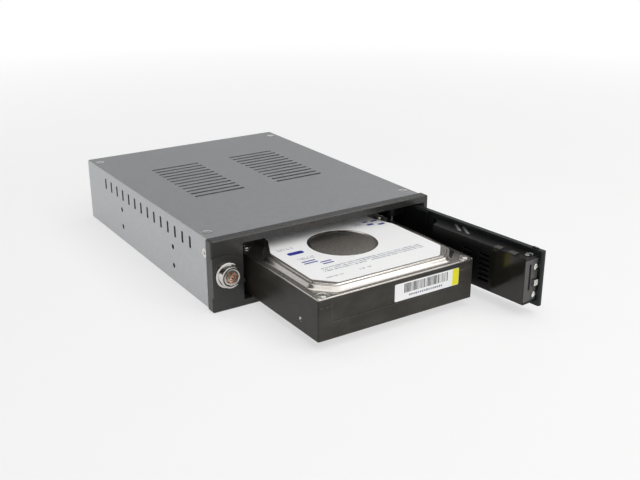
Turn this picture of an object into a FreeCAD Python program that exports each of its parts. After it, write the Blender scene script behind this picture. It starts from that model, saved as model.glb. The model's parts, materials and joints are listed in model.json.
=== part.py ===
import FreeCAD, Part
import math
import os
import re
import Sketcher

# A trayless drive cage for one 5.25 inch bay, holding one 3.5 inch drive behind a hinged door.
# Seen from the front, X runs to the right, Y to the back and Z up, in millimetres.
# The origin is the bottom centre of the bezel's rear face, which lies in the bay's front plane.
# The door stands open and the drive is drawn part of the way out.

doc = FreeCAD.newDocument("DriveCage")
sheet = doc.addObject("Spreadsheet::Sheet", "Sizes")

sizes = {
    # Bezel, its opening and the raised boss round the lock
    "bezelWidth": 149,
    "bezelHeight": 42,
    "bezelDepth": 6,
    "bezelCorner": 1.2,
    "bezelEdge": 0.6,
    "openLeft": -55.1,
    "openRight": 70,
    "openBottom": 4.1,
    "openTop": 37.7,
    "postRelief": 2.5,
    "bossRight": -55.9,
    "bossBottom": 9.2,
    "bossRise": 1,
    "bossRadius": 25,
    "bossX": -69.3,
    "bossZ": 8,
    "earWide": 10.4,
    "earBack": 9.5,
    "earThick": 2.6,
    "earGap": 0.1,
    "lugWide": 12,
    "lugBack": 8,
    "lugTop": 4,
    # Tray, cover and rear panel, all of one sheet thickness
    "trayWidth": 146,
    "trayLength": 186,
    "sheetThick": 1,
    "wallTop": 40.3,
    "tabLong": 10,
    "tabWide": 8,
    "bayHoleFront": 47.4,
    "bayHoleStep": 79.25,
    "bayHoleLow": 10,
    "bayHoleRise": 11.84,
    "bayHoleX": 69.85,
    "bayHoleRadius": 1.6,
    "ventWide": 2.4,
    "ventPitch": 6,
    # Hinge and door. Door pieces are drawn closed about the hinge axis, then turned open.
    "hingeX": 55.2,
    "hingeY": 5.2,
    "doorOpen": 95.3,
    "pinRadius": 1.25,
    "pinInset": 0.4,
    "bushBore": 1.3,
    "bushRadius": 2,
    "knuckleRadius": 3.2,
    "knuckleLong": 7,
    "armLow": 5.4,
    "armHigh": 36.4,
    "armThick": 1.5,
    "armReach": 24,
    "plateEnd": 109.9,
    "plateTail": 12,
    "plateFront": -11.2,
    "plateBack": -8,
    "plateLow": 4.9,
    "plateHigh": 36.9,
    "plateTailRound": 3,
    "plateEndRound": 1.2,
    "bodyStart": 29,
    "bodyEnd": 107.1,
    "bodyFace": 1.9,
    "bodyLow": 7.4,
    "bodyHigh": 34.3,
    "bodyWall": 1.5,
    "coveAlong": 26,
    "coveAcross": 4,
    "coveRadius": 12,
    "tubStart": 41,
    "capThick": 3,
    "louvreTop": 28.6,
    "louvrePitch": 3,
    "louvreHigh": 1.5,
    "panelStart": 84.5,
    "panelEnd": 106.9,
    "panelLow": 8.2,
    "panelHigh": 34,
    "panelThick": 0.35,
    "clipThick": 0.6,
    "slotLow": 15,
    "slotHigh": 30.3,
    "slotNear": -3,
    "slotFar": -1.3,
    "capScrewAcross": -5.8,
    "capScrewLow": 12,
    "capScrewHigh": 28.3,
    "knobStart": 101.5,
    "knobEnd": 105.5,
    "knobHigh": 0.6,
    # Sprung latch in the door's free end
    "boltBack": 98,
    "boltTip": 108.7,
    "boltNear": -7.6,
    "boltFar": -4.4,
    "boltLow": 17.6,
    "boltHigh": 21,
    "boltGap": 0.3,
    "boltDimple": 0.3,
    # Cam lock
    "lockX": -65.7,
    "lockZ": 21.6,
    "lockFront": -12,
    "tubeRadius": 6.1,
    "flangeRadius": 7.3,
    "flangeThick": 1.2,
    "threadRadius": 4.5,
    "threadEnd": 2.3,
    "coreHead": 4.3,
    "coreRim": 3.3,
    "corePost": 2.3,
    "corePostBore": 1.3,
    "coreGroove": 1.5,
    "coreHeadDeep": 2.2,
    "coreShaft": 3.05,
    "coreTail": 2.4,
    "turnGap": 0.05,
    "nutRadius": 6.1,
    "nutThick": 2.2,
    "camBack": 3.65,
    "camThick": 1.2,
    "camReach": 15,
    "camTipRadius": 3,
    "camHub": 5.5,
    # Drive, to the 3.5 inch form factor
    "driveWidth": 101.6,
    "driveLength": 147,
    "driveX": 0.5,
    "driveFront": -74,
    "driveBottom": 5,
    "castHeight": 22.6,
    "flangeSheet": 0.8,
    "driveTop": 31.1,
    "cornerCut": 8.5,
    "labelThick": 0.15,
    "fieldStart": 8.5,
    "fieldEnd": 92.5,
    "fieldLow": 9.3,
    "fieldDeep": 0.3,
    "ledgeHigh": 18,
    "hubAcross": 50.7,
    "hubAlong": 52.9,
    "hubRadius": 19.7,
    "driveHoleUp": 6.35,
    "driveHoleRadius": 1.45,
    "driveHoleDeep": 4,
    "driveHomeTravel": 84,
    # Guides that the drive slides on
    "guideGap": 0.5,
    "guideWall": 2,
    "guideTop": 26,
    "shelfTop": 4.7,
    "shelfWide": 8.8,
    "guideEnd": 158,
    "ribThick": 2,
    # Backplane board and its sockets
    "boardFront": 160.5,
    "boardThick": 1.6,
    "boardLeft": -62,
    "boardRight": 26,
    "boardLow": 3.5,
    "boardHigh": 38,
    "socketX": -14,
    "socketWide": 42.7,
    "socketDeep": 7,
    "socketLow": 6,
    "socketHigh": 11.2,
    "tongueLow": 8.15,
    "tongueHigh": 9.35,
    "tongueWide": 37.8,
    "standoffRadius": 2.9,
    # Fan
    "fanX": 46,
    "fanZ": 20.65,
    "fanSize": 35,
    "fanDeep": 10,
    "fanBore": 16.2,
    "fanHole": 15.8,
    "fanHolePitch": 29,
    "bladeReach": 14.9,
    "bladeCount": 7,
    "fanHub": 8.5,
    "supportThick": 2,
    "guardWire": 0.4,
    # Screws: larger ones for the case, smaller ones for the door and boards
    "screwShank": 1.4,
    "screwHead": 2.7,
    "screwHigh": 1.2,
    "smallShank": 0.9,
    "smallHead": 1.8,
    "smallHigh": 0.8,
    "screwFit": 0.05,
    "sinkHigh": 0.95,
}
for row, (alias, number) in enumerate(sizes.items(), start=1):
    sheet.set(f"A{row}", str(number))
    sheet.setAlias(f"A{row}", alias)
doc.recompute()

axis_turn = {
    "x": FreeCAD.Rotation(FreeCAD.Vector(0, 1, 0), 90),
    "y": FreeCAD.Rotation(FreeCAD.Vector(1, 0, 0), -90),
    "z": FreeCAD.Rotation(),
}
sketch_plane = {"x": "YZ_Plane", "y": "XZ_Plane", "z": "XY_Plane"}
nodes = []


# ---- Ways of making a piece ----

def words(text):
    """A formula in the sheet's own words, ready to be an expression."""
    def cell(word):
        return f"Sizes.{word[0]}" if word[0] in sizes else word[0]
    return re.sub(r"[A-Za-z]\w*", cell, str(text))


def bind(feature, path, text):
    feature.setExpression(path, words(text))


def box(x, y, z):
    """A block between two places along each axis."""
    solid = doc.addObject("Part::Box", "Block")
    for axis, edge, (low, high) in zip("xyz", ("Length", "Width", "Height"), (x, y, z)):
        bind(solid, edge, f"({high}) - ({low})")
        bind(solid, f"Placement.Base.{axis}", low)
    return solid


def rod(kind, axis, across, along, **radii):
    """A round or six-sided rod along an axis; across is its centre on the other two axes."""
    solid = doc.addObject(f"Part::{kind}", kind)
    solid.Placement = FreeCAD.Placement(FreeCAD.Vector(), axis_turn[axis])
    low, high = along
    for other, place in zip([name for name in "xyz" if name != axis], across):
        bind(solid, f"Placement.Base.{other}", place)
    bind(solid, f"Placement.Base.{axis}", low)
    bind(solid, "Height", f"({high}) - ({low})")
    for name, radius in radii.items():
        bind(solid, name, radius)
    return solid


def cylinder(axis, across, along, radius):
    return rod("Cylinder", axis, across, along, Radius=radius)


def cylinders(axis, places, along, radius):
    return [cylinder(axis, place, along, radius) for place in places]


def fuse(*solids):
    if len(solids) == 1:
        return solids[0]
    whole = doc.addObject("Part::MultiFuse", "Fusion")
    whole.Shapes = list(solids)
    whole.Refine = True
    return whole


def cut(base, *tools):
    rest = doc.addObject("Part::Cut", "Cut")
    rest.Base = base
    rest.Tool = fuse(*tools)
    rest.Refine = True
    return rest


def common(first, second):
    shared = doc.addObject("Part::Common", "Common")
    shared.Base = first
    shared.Tool = second
    return shared


def group(*solids):
    """Separate solids in one node."""
    bundle = doc.addObject("Part::Compound", "Group")
    bundle.Links = list(solids)
    return bundle


def rectangle(left, right, low, high):
    return [(left, low), (right, low), (right, high), (left, high)]


def sketch_in(body, axis, level):
    sketch = body.newObject("Sketcher::SketchObject", "Outline")
    planes = {plane.Role: plane for plane in body.Origin.OriginFeatures}
    sketch.AttachmentSupport = [(planes[sketch_plane[axis]], "")]
    sketch.MapMode = "FlatFace"
    bind(sketch, "AttachmentOffset.Base.z", f"-({level})" if axis == "y" else level)
    return sketch


def pin_point(sketch, item, end, start, place):
    """Hold one point of a sketch at a place given in the sheet's words."""
    for kind, value, text in zip(("DistanceX", "DistanceY"), start, place):
        number = sketch.addConstraint(Sketcher.Constraint(kind, item, end, value))
        bind(sketch, f"Constraints[{number}]", text)


def draw_loop(sketch, corners):
    """A closed outline of straight lines with every corner held by the sheet."""
    count = len(corners)
    first = sketch.GeometryCount
    turns = [2 * math.pi * corner / count for corner in range(count)]
    points = [FreeCAD.Vector(math.cos(turn), math.sin(turn), 0) for turn in turns]
    for corner in range(count):
        line = Part.LineSegment(points[corner], points[(corner + 1) % count])
        sketch.addGeometry(line, False)
    for corner in range(count):
        following = first + (corner + 1) % count
        sketch.addConstraint(Sketcher.Constraint("Coincident", first + corner, 2, following, 1))
    for corner, place in enumerate(corners):
        start = (points[corner].x, points[corner].y)
        pin_point(sketch, first + corner, 1, start, place)


def draw_circle(sketch, across, along, radius):
    item = sketch.addGeometry(Part.Circle(FreeCAD.Vector(1, 1, 0), FreeCAD.Vector(0, 0, 1), 1), False)
    pin_point(sketch, item, 3, (1, 1), (across, along))
    number = sketch.addConstraint(Sketcher.Constraint("Radius", item, 1))
    bind(sketch, f"Constraints[{number}]", radius)


def padded(axis, along, outline, holes=(), body=None):
    """A body padded along an axis from a closed outline, with round or straight-sided holes."""
    body = body or doc.addObject("PartDesign::Body", "Body")
    low, high = along
    sketch = sketch_in(body, axis, low)
    draw_loop(sketch, outline)
    for hole in holes:
        if len(hole) == 3:
            draw_circle(sketch, *hole)
        else:
            draw_loop(sketch, hole)
    pad = body.newObject("PartDesign::Pad", "Pad")
    pad.Profile = sketch
    pad.Reversed = axis == "y"
    bind(pad, "Length", f"({high}) - ({low})")
    return body


def turned(axis, profile, centre):
    """A body turned about a line along Y or Z from a profile of (radius, place along the line)."""
    body = doc.addObject("PartDesign::Body", "Body")
    sketch = sketch_in(body, "z" if axis == "y" else "y", 0)
    draw_loop(sketch, profile)
    spin = body.newObject("PartDesign::Revolution", "Revolution")
    spin.Profile = sketch
    spin.ReferenceAxis = (sketch, ["V_Axis"])
    spin.Angle = 360
    for other, place in zip([name for name in "xyz" if name != axis], centre):
        bind(body, f"Placement.Base.{other}", place)
    return body


def dress(body, kind, amount, chosen):
    """Round (Fillet) or bevel (Chamfer) the edges of a body that a test picks out."""
    doc.recompute()
    base = body.Tip
    names = [f"Edge{number}" for number, edge in enumerate(base.Shape.Edges, 1) if chosen(edge)]
    feature = body.newObject(f"PartDesign::{kind}", kind)
    feature.Base = (base, names)
    bind(feature, {"Fillet": "Radius", "Chamfer": "Size"}[kind], amount)
    return body


def runs_along(edge, axis):
    direction = edge.tangentAt(edge.FirstParameter)
    return edge.Curve.TypeId == "Part::GeomLine" and abs(getattr(direction, axis)) > 0.999


def lies_at(edge, axis, level):
    bounds = edge.BoundBox
    ends = (getattr(bounds, f"{axis.upper()}Min"), getattr(bounds, f"{axis.upper()}Max"))
    return all(abs(end - level) < 0.001 for end in ends)


def node(name, feature, in_door=False):
    """Name a finished piece; a door piece is turned open about the hinge axis."""
    feature.Label = name
    if in_door:
        bind(feature, "Placement.Base.x", "hingeX")
        bind(feature, "Placement.Base.y", "hingeY")
        bind(feature, "Placement.Rotation.Angle", "doorOpen * 1")
    nodes.append(feature)


# ---- Screws ----

def screw(axis, across, seat, tip, size="screw", side=1, sunk=False):
    """One screw; side is 1 where its head faces up the axis, and a sunk head ends at its seat."""
    shank, head, high = f"{size}Shank", f"{size}Head", f"{size}High"
    if sunk:
        under = f"{seat} - ({side}) * sinkHigh"
        top = seat
    else:
        under = seat
        top = f"{seat} + ({side}) * {high}"
    recess = f"{top} - ({side}) * {high} * 0.6"

    def span(one, other):
        return (one, other) if side > 0 else (other, one)

    body = cylinder(axis, across, span(tip, under), shank)
    if sunk:
        radii = (shank, head) if side > 0 else (head, shank)
        cap = rod("Cone", axis, across, span(under, top), Radius1=radii[0], Radius2=radii[1])
    else:
        cap = cylinder(axis, across, span(under, top), head)
    socket = rod("Prism", axis, across, span(recess, top), Circumradius=f"{head} * 0.45")
    return cut(fuse(body, cap), socket)


def screws(axis, places, seat, tip, size="screw", side=1, sunk=False):
    return group(*[screw(axis, place, seat, tip, size, side, sunk) for place in places])


def sunk_hole(axis, across, surface, depth, side):
    """A hole with a cone at the surface for a sunk screw; side is 1 where the head faces up."""
    wide = "screwHead + screwFit"
    narrow = "screwShank + screwFit"
    inner = f"{surface} - ({side}) * sinkHigh"
    deep = f"{surface} - ({side}) * ({depth})"
    if side > 0:
        cone = rod("Cone", axis, across, (inner, surface), Radius1=narrow, Radius2=wide)
        return [cone, cylinder(axis, across, (deep, inner), narrow)]
    cone = rod("Cone", axis, across, (surface, inner), Radius1=wide, Radius2=narrow)
    return [cone, cylinder(axis, across, (inner, deep), narrow)]


half_bezel = "bezelWidth / 2"
half_tray = "trayWidth / 2"
wall_inner = "trayWidth / 2 - sheetThick"
inner_end = "trayLength - sheetThick"
screw_bore = "screwShank + screwFit"
small_bore = "smallShank + screwFit"

cover_tab_x = f"{half_tray} - 5"
cover_tab_rows = (11, "trayLength - 11")
cover_screw_places = [(f"{hand} * ({cover_tab_x})", row) for hand in ("-1", "1") for row in cover_tab_rows]
bezel_lug_places = [(-34, 4), (26, 4)]
side_lug_place = (5, 32)
guide_screw_places = [(-48, 34), (-48, 150), (49, 34), (49, 150)]
panel_tab_x = f"{half_tray} - 4"
panel_tab_places = [(f"{hand} * ({panel_tab_x})", level) for hand in ("-1", "1") for level in (10, 31)]
standoff_places = [(place, level) for place in ("boardLeft + 4", "boardRight - 4") for level in (7.5, 34)]
fan_screw_places = [
    (f"fanX + ({across}) * fanHolePitch / 2", f"fanZ + ({up}) * fanHolePitch / 2")
    for across in (-1, 1) for up in (-1, 1)
]


# ---- Bezel ----

def outside_opening(edge):
    centre = edge.BoundBox.Center
    in_width = sizes["openLeft"] - 1 < centre.x < sizes["openRight"] + 1
    in_height = sizes["openBottom"] - 1 < centre.z < sizes["openTop"] + 1
    return not (in_width and in_height)


def front_bezel():
    frame = padded(
        "y", ("-bezelDepth", 0),
        rectangle(f"-{half_bezel}", half_bezel, 0, "bezelHeight"),
        [rectangle("openLeft", "openRight", "openBottom", "openTop")],
    )
    dress(frame, "Fillet", "bezelCorner", lambda edge: runs_along(edge, "y") and outside_opening(edge))
    dress(frame, "Chamfer", "bezelEdge",
          lambda edge: lies_at(edge, "y", -sizes["bezelDepth"]) and outside_opening(edge))
    boss_depth = ("-bezelDepth - bossRise", "-bezelDepth / 2")
    boss = common(
        box((f"-{half_bezel}", "bossRight"), boss_depth, ("bossBottom", "bezelHeight")),
        cylinder("y", ("bossX", "bossZ"), boss_depth, "bossRadius"),
    )
    ear_x = ("hingeX - earWide / 2", "hingeX + earWide / 2")
    ear_low = ("sheetThick + earGap", "openBottom + earGap")
    ear_high = ("openTop - earGap", "openTop - earGap + earThick")
    ears = [box(ear_x, (0, "earBack"), ear_low), box(ear_x, (0, "earBack"), ear_high)]
    lugs = [
        box((f"{place} - lugWide / 2", f"{place} + lugWide / 2"), (0, "lugBack"), ("sheetThick", "lugTop"))
        for place, _ in bezel_lug_places
    ]
    side_lug = box((f"-({wall_inner})", f"-({wall_inner}) + 2.8"), (0, "lugBack + 2"), (29, 35))
    side_bore = cylinder("x", side_lug_place, (f"-({half_tray})", f"-({half_tray}) + 5"), screw_bore)
    corner = padded(
        "z", ("openBottom", "openTop"),
        [("openRight - 1", "-bezelDepth - 1"), ("openRight + postRelief", "-bezelDepth - 1"),
         ("openRight - 1", "postRelief - bezelDepth")],
    )
    return cut(
        fuse(frame, boss, *ears, *lugs, side_lug),
        corner,
        side_bore,
        cylinder("y", ("lockX", "lockZ"), ("-bezelDepth - bossRise - 1", 1), "threadRadius + 0.15"),
        cylinder("z", ("hingeX", "hingeY"), (0.5, "bezelHeight - 1"), "pinRadius + 0.02"),
        *cylinders("z", bezel_lug_places, (0, "lugTop + 0.5"), screw_bore),
    )


node("front_bezel", front_bezel())


# ---- Sheet metal case ----

def corner_tabs(level):
    """Inward tabs at the top corners of the walls, under the cover."""
    tabs = []
    for hand in ("-1", "1"):
        edges = (f"{hand} * ({wall_inner})", f"{hand} * ({wall_inner} - tabWide)")
        across = edges if hand == "-1" else edges[::-1]
        for row in cover_tab_rows:
            along = (f"{row} - tabLong / 2", f"{row} + tabLong / 2")
            tabs.append(box(across, along, (f"{level} - sheetThick", level)))
    return tabs


def rear_tabs():
    left = box((f"-({wall_inner})", f"-({wall_inner}) + 6"), (f"{inner_end} - 3", inner_end), (5, 36))
    right = box((f"{wall_inner} - 6", wall_inner), (f"{inner_end} - 3", inner_end), (5, 36))
    return [left, right]


def bay_holes():
    rows = ("bayHoleFront", "bayHoleFront + bayHoleStep")
    levels = ("bayHoleLow", "bayHoleLow + bayHoleRise")
    through_walls = (f"-({half_tray}) - 1", f"{half_tray} + 1")
    side = [cylinder("x", (row, level), through_walls, "bayHoleRadius") for row in rows for level in levels]
    floor = [
        cylinder("z", (f"{hand} * bayHoleX", row), (-1, "sheetThick + 1"), "bayHoleRadius")
        for hand in ("-1", "1") for row in rows
    ]
    return side + floor


def floor_vents():
    return [
        box((f"{left}", f"{left} + 26"), (f"{46 + 9 * step}", f"{46 + 9 * step} + ventWide + 0.6"),
            (-1, "sheetThick + 1"))
        for left in (-33, 7) for step in range(11)
    ]


def side_vents():
    through = (f"-({half_tray}) - 1", f"{half_tray} + 1")
    return [
        box(through, (f"{22 + 10 * step}", f"{22 + 10 * step} + ventWide"), (29, 36))
        for step in range(14)
    ]


def bottom_tray():
    floor = box((f"-({half_tray})", half_tray), (0, inner_end), (0, "sheetThick"))
    walls = [
        box((f"-({half_tray})", f"-({wall_inner})"), (0, inner_end), (0, "wallTop")),
        box((wall_inner, half_tray), (0, inner_end), (0, "wallTop")),
    ]
    sunk = []
    for place in bezel_lug_places + guide_screw_places:
        sunk += sunk_hole("z", place, "0", "sheetThick + 0.5", -1)
    sunk += sunk_hole("x", side_lug_place, f"-({half_tray})", "sheetThick + 0.3", -1)
    return cut(
        fuse(floor, *walls, *corner_tabs("wallTop"), *rear_tabs()),
        *bay_holes(),
        *floor_vents(),
        *side_vents(),
        *sunk,
        *cylinders("z", cover_screw_places, ("wallTop - 3", "wallTop + 1"), screw_bore),
        *cylinders("y", panel_tab_places, (f"{inner_end} - 4", "trayLength + 1"), screw_bore),
    )


node("bottom_tray", bottom_tray())


def top_cover():
    lid = padded(
        "z", ("wallTop", "wallTop + sheetThick"),
        rectangle(f"-({half_tray})", half_tray, 0.2, "trayLength"),
    )
    dress(lid, "Fillet", "bezelCorner", lambda edge: runs_along(edge, "z"))
    vents = [
        box((left, f"{left} + 34"), (f"70 + {step} * ventPitch", f"70 + {step} * ventPitch + ventWide"),
            ("wallTop - 1", "wallTop + sheetThick + 1"))
        for left in (-46, 12) for step in range(12)
    ]
    sunk = []
    for place in cover_screw_places:
        sunk += sunk_hole("z", place, "wallTop + sheetThick", "sheetThick + 0.5", 1)
    return cut(lid, *vents, *sunk)


node("top_cover", top_cover())
node("cover_screws", screws("z", cover_screw_places, "wallTop + sheetThick", "wallTop - 2.5", sunk=True))
node("bezel_screws", group(
    *[screw("z", place, "0", "lugTop - 0.3", side=-1, sunk=True) for place in bezel_lug_places],
    screw("x", side_lug_place, f"-({half_tray})", f"-({half_tray}) + 3.6", side=-1, sunk=True),
))


def rear_panel():
    wide = (f"-({half_tray})", half_tray)
    panel = padded(
        "y", (inner_end, "trayLength"),
        rectangle(*wide, 0, "wallTop"),
        [("fanX", "fanZ", "fanHole"),
         rectangle(-52.5, -39.5, 17.5, 24.5),
         rectangle(-30.5, -7.5, 15.5, 26.5)],
    )
    through = (f"{inner_end} - 1", "trayLength + 1")
    vents = [
        box((f"{-34 + 5 * step}", f"{-34 + 5 * step} + ventWide"), through, (29, 36)) for step in range(9)
    ]
    return cut(
        panel,
        *vents,
        *cylinders("y", panel_tab_places + standoff_places, through, screw_bore),
        *cylinders("y", fan_screw_places, through, screw_bore),
    )


node("rear_panel", rear_panel())
node("rear_panel_screws", screws("y", panel_tab_places + standoff_places, "trayLength", "trayLength - 6"))


# ---- Drive guides ----

drive_left = "driveX - driveWidth / 2"
drive_right = "driveX + driveWidth / 2"
drive_back = "driveFront + driveLength"


def drive_guide(hand, front, rib_rows):
    """A wall beside the drive, a shelf under it and ribs out to the tray; hand is -1 on the left."""
    if hand < 0:
        inner = f"{drive_left} - guideGap"
        wall = (f"{inner} - guideWall", inner)
        shelf = (wall[0], f"{inner} - guideWall + shelfWide")
        rib = (f"-({wall_inner})", wall[0])
        holes = guide_screw_places[:2]
    else:
        inner = f"{drive_right} + guideGap"
        wall = (inner, f"{inner} + guideWall")
        shelf = (f"{inner} + guideWall - shelfWide", wall[1])
        rib = (wall[1], wall_inner)
        holes = guide_screw_places[2:]
    along = (front, "guideEnd")
    ribs = [box(rib, (row, f"{row} + ribThick"), ("sheetThick", "guideTop")) for row in rib_rows]
    foot = box(rib, along, ("sheetThick", "sheetThick + ribThick"))
    whole = fuse(
        box(wall, along, ("sheetThick", "guideTop")),
        box(shelf, along, ("sheetThick", "shelfTop")),
        foot,
        *ribs,
    )
    lead = cylinder("x", (front, "guideTop"), (wall[0], wall[1]), 4)
    rows = ("bayHoleFront", "bayHoleFront + bayHoleStep")
    relief = [
        cylinder("z", (f"{hand} * bayHoleX", row), (0, "guideTop + 1"), "bayHoleRadius + 1") for row in rows
    ]
    return cut(whole, lead, *relief, *cylinders("z", holes, (0, "shelfTop - 0.4"), screw_bore))


node("drive_guide_left", drive_guide(-1, 8, (30, 66, 104, 146)))
node("drive_guide_right", drive_guide(1, 24, (32, 66, 104, 146)))
node("guide_screws", screws("z", guide_screw_places, "0", "shelfTop - 0.6", side=-1, sunk=True))


# ---- Cam lock ----

lock_centre = ("lockX", "lockZ")
boss_face = "-bezelDepth - bossRise"
core_floor = "lockFront + coreHeadDeep + 0.3"


def lock_barrel():
    flange_front = f"{boss_face} - flangeThick"
    return turned("y", [
        ("coreHead + turnGap", "lockFront"),
        ("tubeRadius", "lockFront"),
        ("tubeRadius", flange_front),
        ("flangeRadius", flange_front),
        ("flangeRadius", boss_face),
        ("threadRadius", boss_face),
        ("threadRadius", "threadEnd"),
        ("coreShaft + turnGap", "threadEnd"),
        ("coreShaft + turnGap", f"{core_floor} + 0.1"),
        ("coreHead + turnGap", f"{core_floor} + 0.1"),
    ], lock_centre)


node("lock_barrel", lock_barrel())
node("lock_nut", cut(
    rod("Prism", "y", lock_centre, (0, "nutThick"), Circumradius="nutRadius"),
    cylinder("y", lock_centre, (-1, "nutThick + 1"), "threadRadius + turnGap"),
))


def lock_core():
    bore = "smallShank + 0.1"
    face = "lockFront + 0.3"
    groove_floor = f"{face} + coreGroove"
    core = turned("y", [
        (0, groove_floor),
        ("corePostBore", groove_floor),
        ("corePostBore", f"{face} + 0.2"),
        ("corePost", f"{face} + 0.2"),
        ("corePost", groove_floor),
        ("coreRim", groove_floor),
        ("coreRim", face),
        ("coreHead", face),
        ("coreHead", core_floor),
        ("coreShaft", core_floor),
        ("coreShaft", "threadEnd + 0.1"),
        ("coreTail", "threadEnd + 0.1"),
        ("coreTail", "camBack"),
        (bore, "camBack"),
        (bore, -0.5),
        (0, -0.5),
    ], lock_centre)
    middle_of_post = "(corePost + corePostBore) / 2 * cos(45)"
    middle_of_rim = "(coreHead + coreRim) / 2"
    notch_depth = ("lockFront", groove_floor)
    return cut(
        core,
        cylinder("y", (f"lockX + {middle_of_post}", f"lockZ + {middle_of_post}"), notch_depth, 0.6),
        cylinder("y", (f"lockX + {middle_of_rim}", "lockZ"), notch_depth, 0.55),
    )


def lock_cam():
    along = ("camBack - camThick", "camBack")
    tip = "lockZ + camReach - camTipRadius"
    arm = fuse(
        cylinder("y", lock_centre, along, "camHub"),
        box(("lockX - camTipRadius", "lockX + camTipRadius"), along, ("lockZ", tip)),
        cylinder("y", ("lockX", tip), along, "camTipRadius"),
    )
    return cut(arm, cylinder("y", lock_centre, ("camBack - 2", "camBack + 1"), "coreTail + turnGap"))


node("lock_core", lock_core())
node("lock_cam", lock_cam())
node("cam_screw", screw("y", lock_centre, "camBack + 0.05", "-0.4", "small"))
node("lock_switch", fuse(
    box((-71, -61), (1, 6.5), ("sheetThick", 9.5)),
    box(("lockX - 1", "lockX + 1"), (2.3, 3.8), (9, "lockZ - camHub - 0.5")),
))


# ---- Backplane board and what is on it ----

board_back = "boardFront + boardThick"


def backplane_board():
    board = padded(
        "y", ("boardFront", board_back),
        rectangle("boardLeft", "boardRight", "boardLow", "boardHigh"),
    )
    window = box((-58, -20), ("boardFront - 1", f"{board_back} + 1"), (28, 33))
    bores = cylinders("y", standoff_places, ("boardFront - 1", f"{board_back} + 1"), screw_bore)
    return cut(board, window, *bores)


def standoffs():
    posts = []
    for place in standoff_places:
        post = rod("Prism", "y", place, (board_back, inner_end), Circumradius="standoffRadius")
        posts.append(cut(post, cylinder("y", place, (board_back, inner_end), screw_bore)))
    return group(*posts)


def drive_socket():
    front = "boardFront - socketDeep"
    block = box(
        ("socketX - socketWide / 2", "socketX + socketWide / 2"), (front, "boardFront"),
        ("socketLow", "socketHigh"),
    )
    slot = box(
        ("socketX - tongueWide / 2 - guideGap", "socketX + tongueWide / 2 + guideGap"),
        (front, f"{front} + 4"), ("tongueLow - 0.35", "tongueHigh + 0.35"),
    )
    return cut(block, slot)


def data_connector():
    shell = box((-52, -40), (board_back, "trayLength"), (18, 24))
    mouth = box((-51.2, -40.8), ("trayLength - 5", "trayLength"), (19.2, 22.8))
    blade = fuse(
        box((-50.4, -41.6), ("trayLength - 6", "trayLength - 0.8"), (20.8, 22)),
        box((-50.4, -49.2), ("trayLength - 6", "trayLength - 0.8"), (20, 22)),
    )
    return fuse(cut(shell, mouth), blade)


def power_connector():
    shell = box((-30, -8), (board_back, "trayLength"), (16, 26))
    mouth = box((-28.8, -9.2), ("trayLength - 9", "trayLength"), (17.2, 24.8))
    pin_rows = [(-26.6 + 5.08 * pin, 21) for pin in range(4)]
    return fuse(cut(shell, mouth), *cylinders("y", pin_rows, ("trayLength - 10", "trayLength - 2"), 1.05))


node("backplane_board", backplane_board())
node("board_standoffs", standoffs())
node("board_screws", screws("y", standoff_places, "boardFront", f"{board_back} + 5", side=-1))
node("drive_socket", drive_socket())
node("data_connector", data_connector())
node("power_connector", power_connector())
node("filter_capacitors", group(
    *cylinders("y", [(1, 30), (11, 30), (4, 12)], (board_back, f"{board_back} + 11"), 4)
))


# ---- Fan ----

fan_front = f"{inner_end} - fanDeep"
fan_centre = ("fanX", "fanZ")


def fan_frame():
    half = "fanSize / 2"
    frame = padded(
        "y", (fan_front, inner_end),
        rectangle(f"fanX - {half}", f"fanX + {half}", f"fanZ - {half}", f"fanZ + {half}"),
        [("fanX", "fanZ", "fanBore")] + [(*place, "screwShank + 0.3") for place in fan_screw_places],
    )
    dress(frame, "Fillet", 2.5, lambda edge: runs_along(edge, "y"))
    support_span = (f"{inner_end} - supportThick", inner_end)
    support = cylinder("y", fan_centre, support_span, "fanHub")
    reach = ("fanX - fanBore - 0.5", "fanX + fanBore + 0.5")
    struts = [
        box(reach, support_span, ("fanZ - 1", "fanZ + 1")),
        box(("fanX - 1", "fanX + 1"), support_span, ("fanZ - fanBore - 0.5", "fanZ + fanBore + 0.5")),
    ]
    bearing = cylinder("y", fan_centre, (f"{inner_end} - 3", f"{inner_end} - 0.5"), 1.05)
    return cut(fuse(frame, support, *struts), bearing)


node("fan_frame", fan_frame())


def fan_rotor():
    body = turned("y", [
        (0, -8.6), ("fanHub - 1", -8.6), ("fanHub", -7.6), ("fanHub", -2.6), (1, -2.6), (1, -0.8), (0, -0.8),
    ], fan_centre)
    bind(body, "Placement.Base.y", inner_end)
    sketch = sketch_in(body, "x", "fanHub - 0.6")
    draw_loop(sketch, [(-8.2, -4.2), (-7.0, -4.2), (-2.9, 4.2), (-4.1, 4.2)])
    blade = body.newObject("PartDesign::Pad", "Blade")
    blade.Profile = sketch
    bind(blade, "Length", "bladeReach - fanHub + 0.6")
    ring = body.newObject("PartDesign::PolarPattern", "Blades")
    ring.Originals = [blade]
    axes = {line.Role: line for line in body.Origin.OriginFeatures}
    ring.Axis = (axes["Y_Axis"], [""])
    ring.Angle = 360
    bind(ring, "Occurrences", "bladeCount")
    body.Tip = ring
    return body


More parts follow.
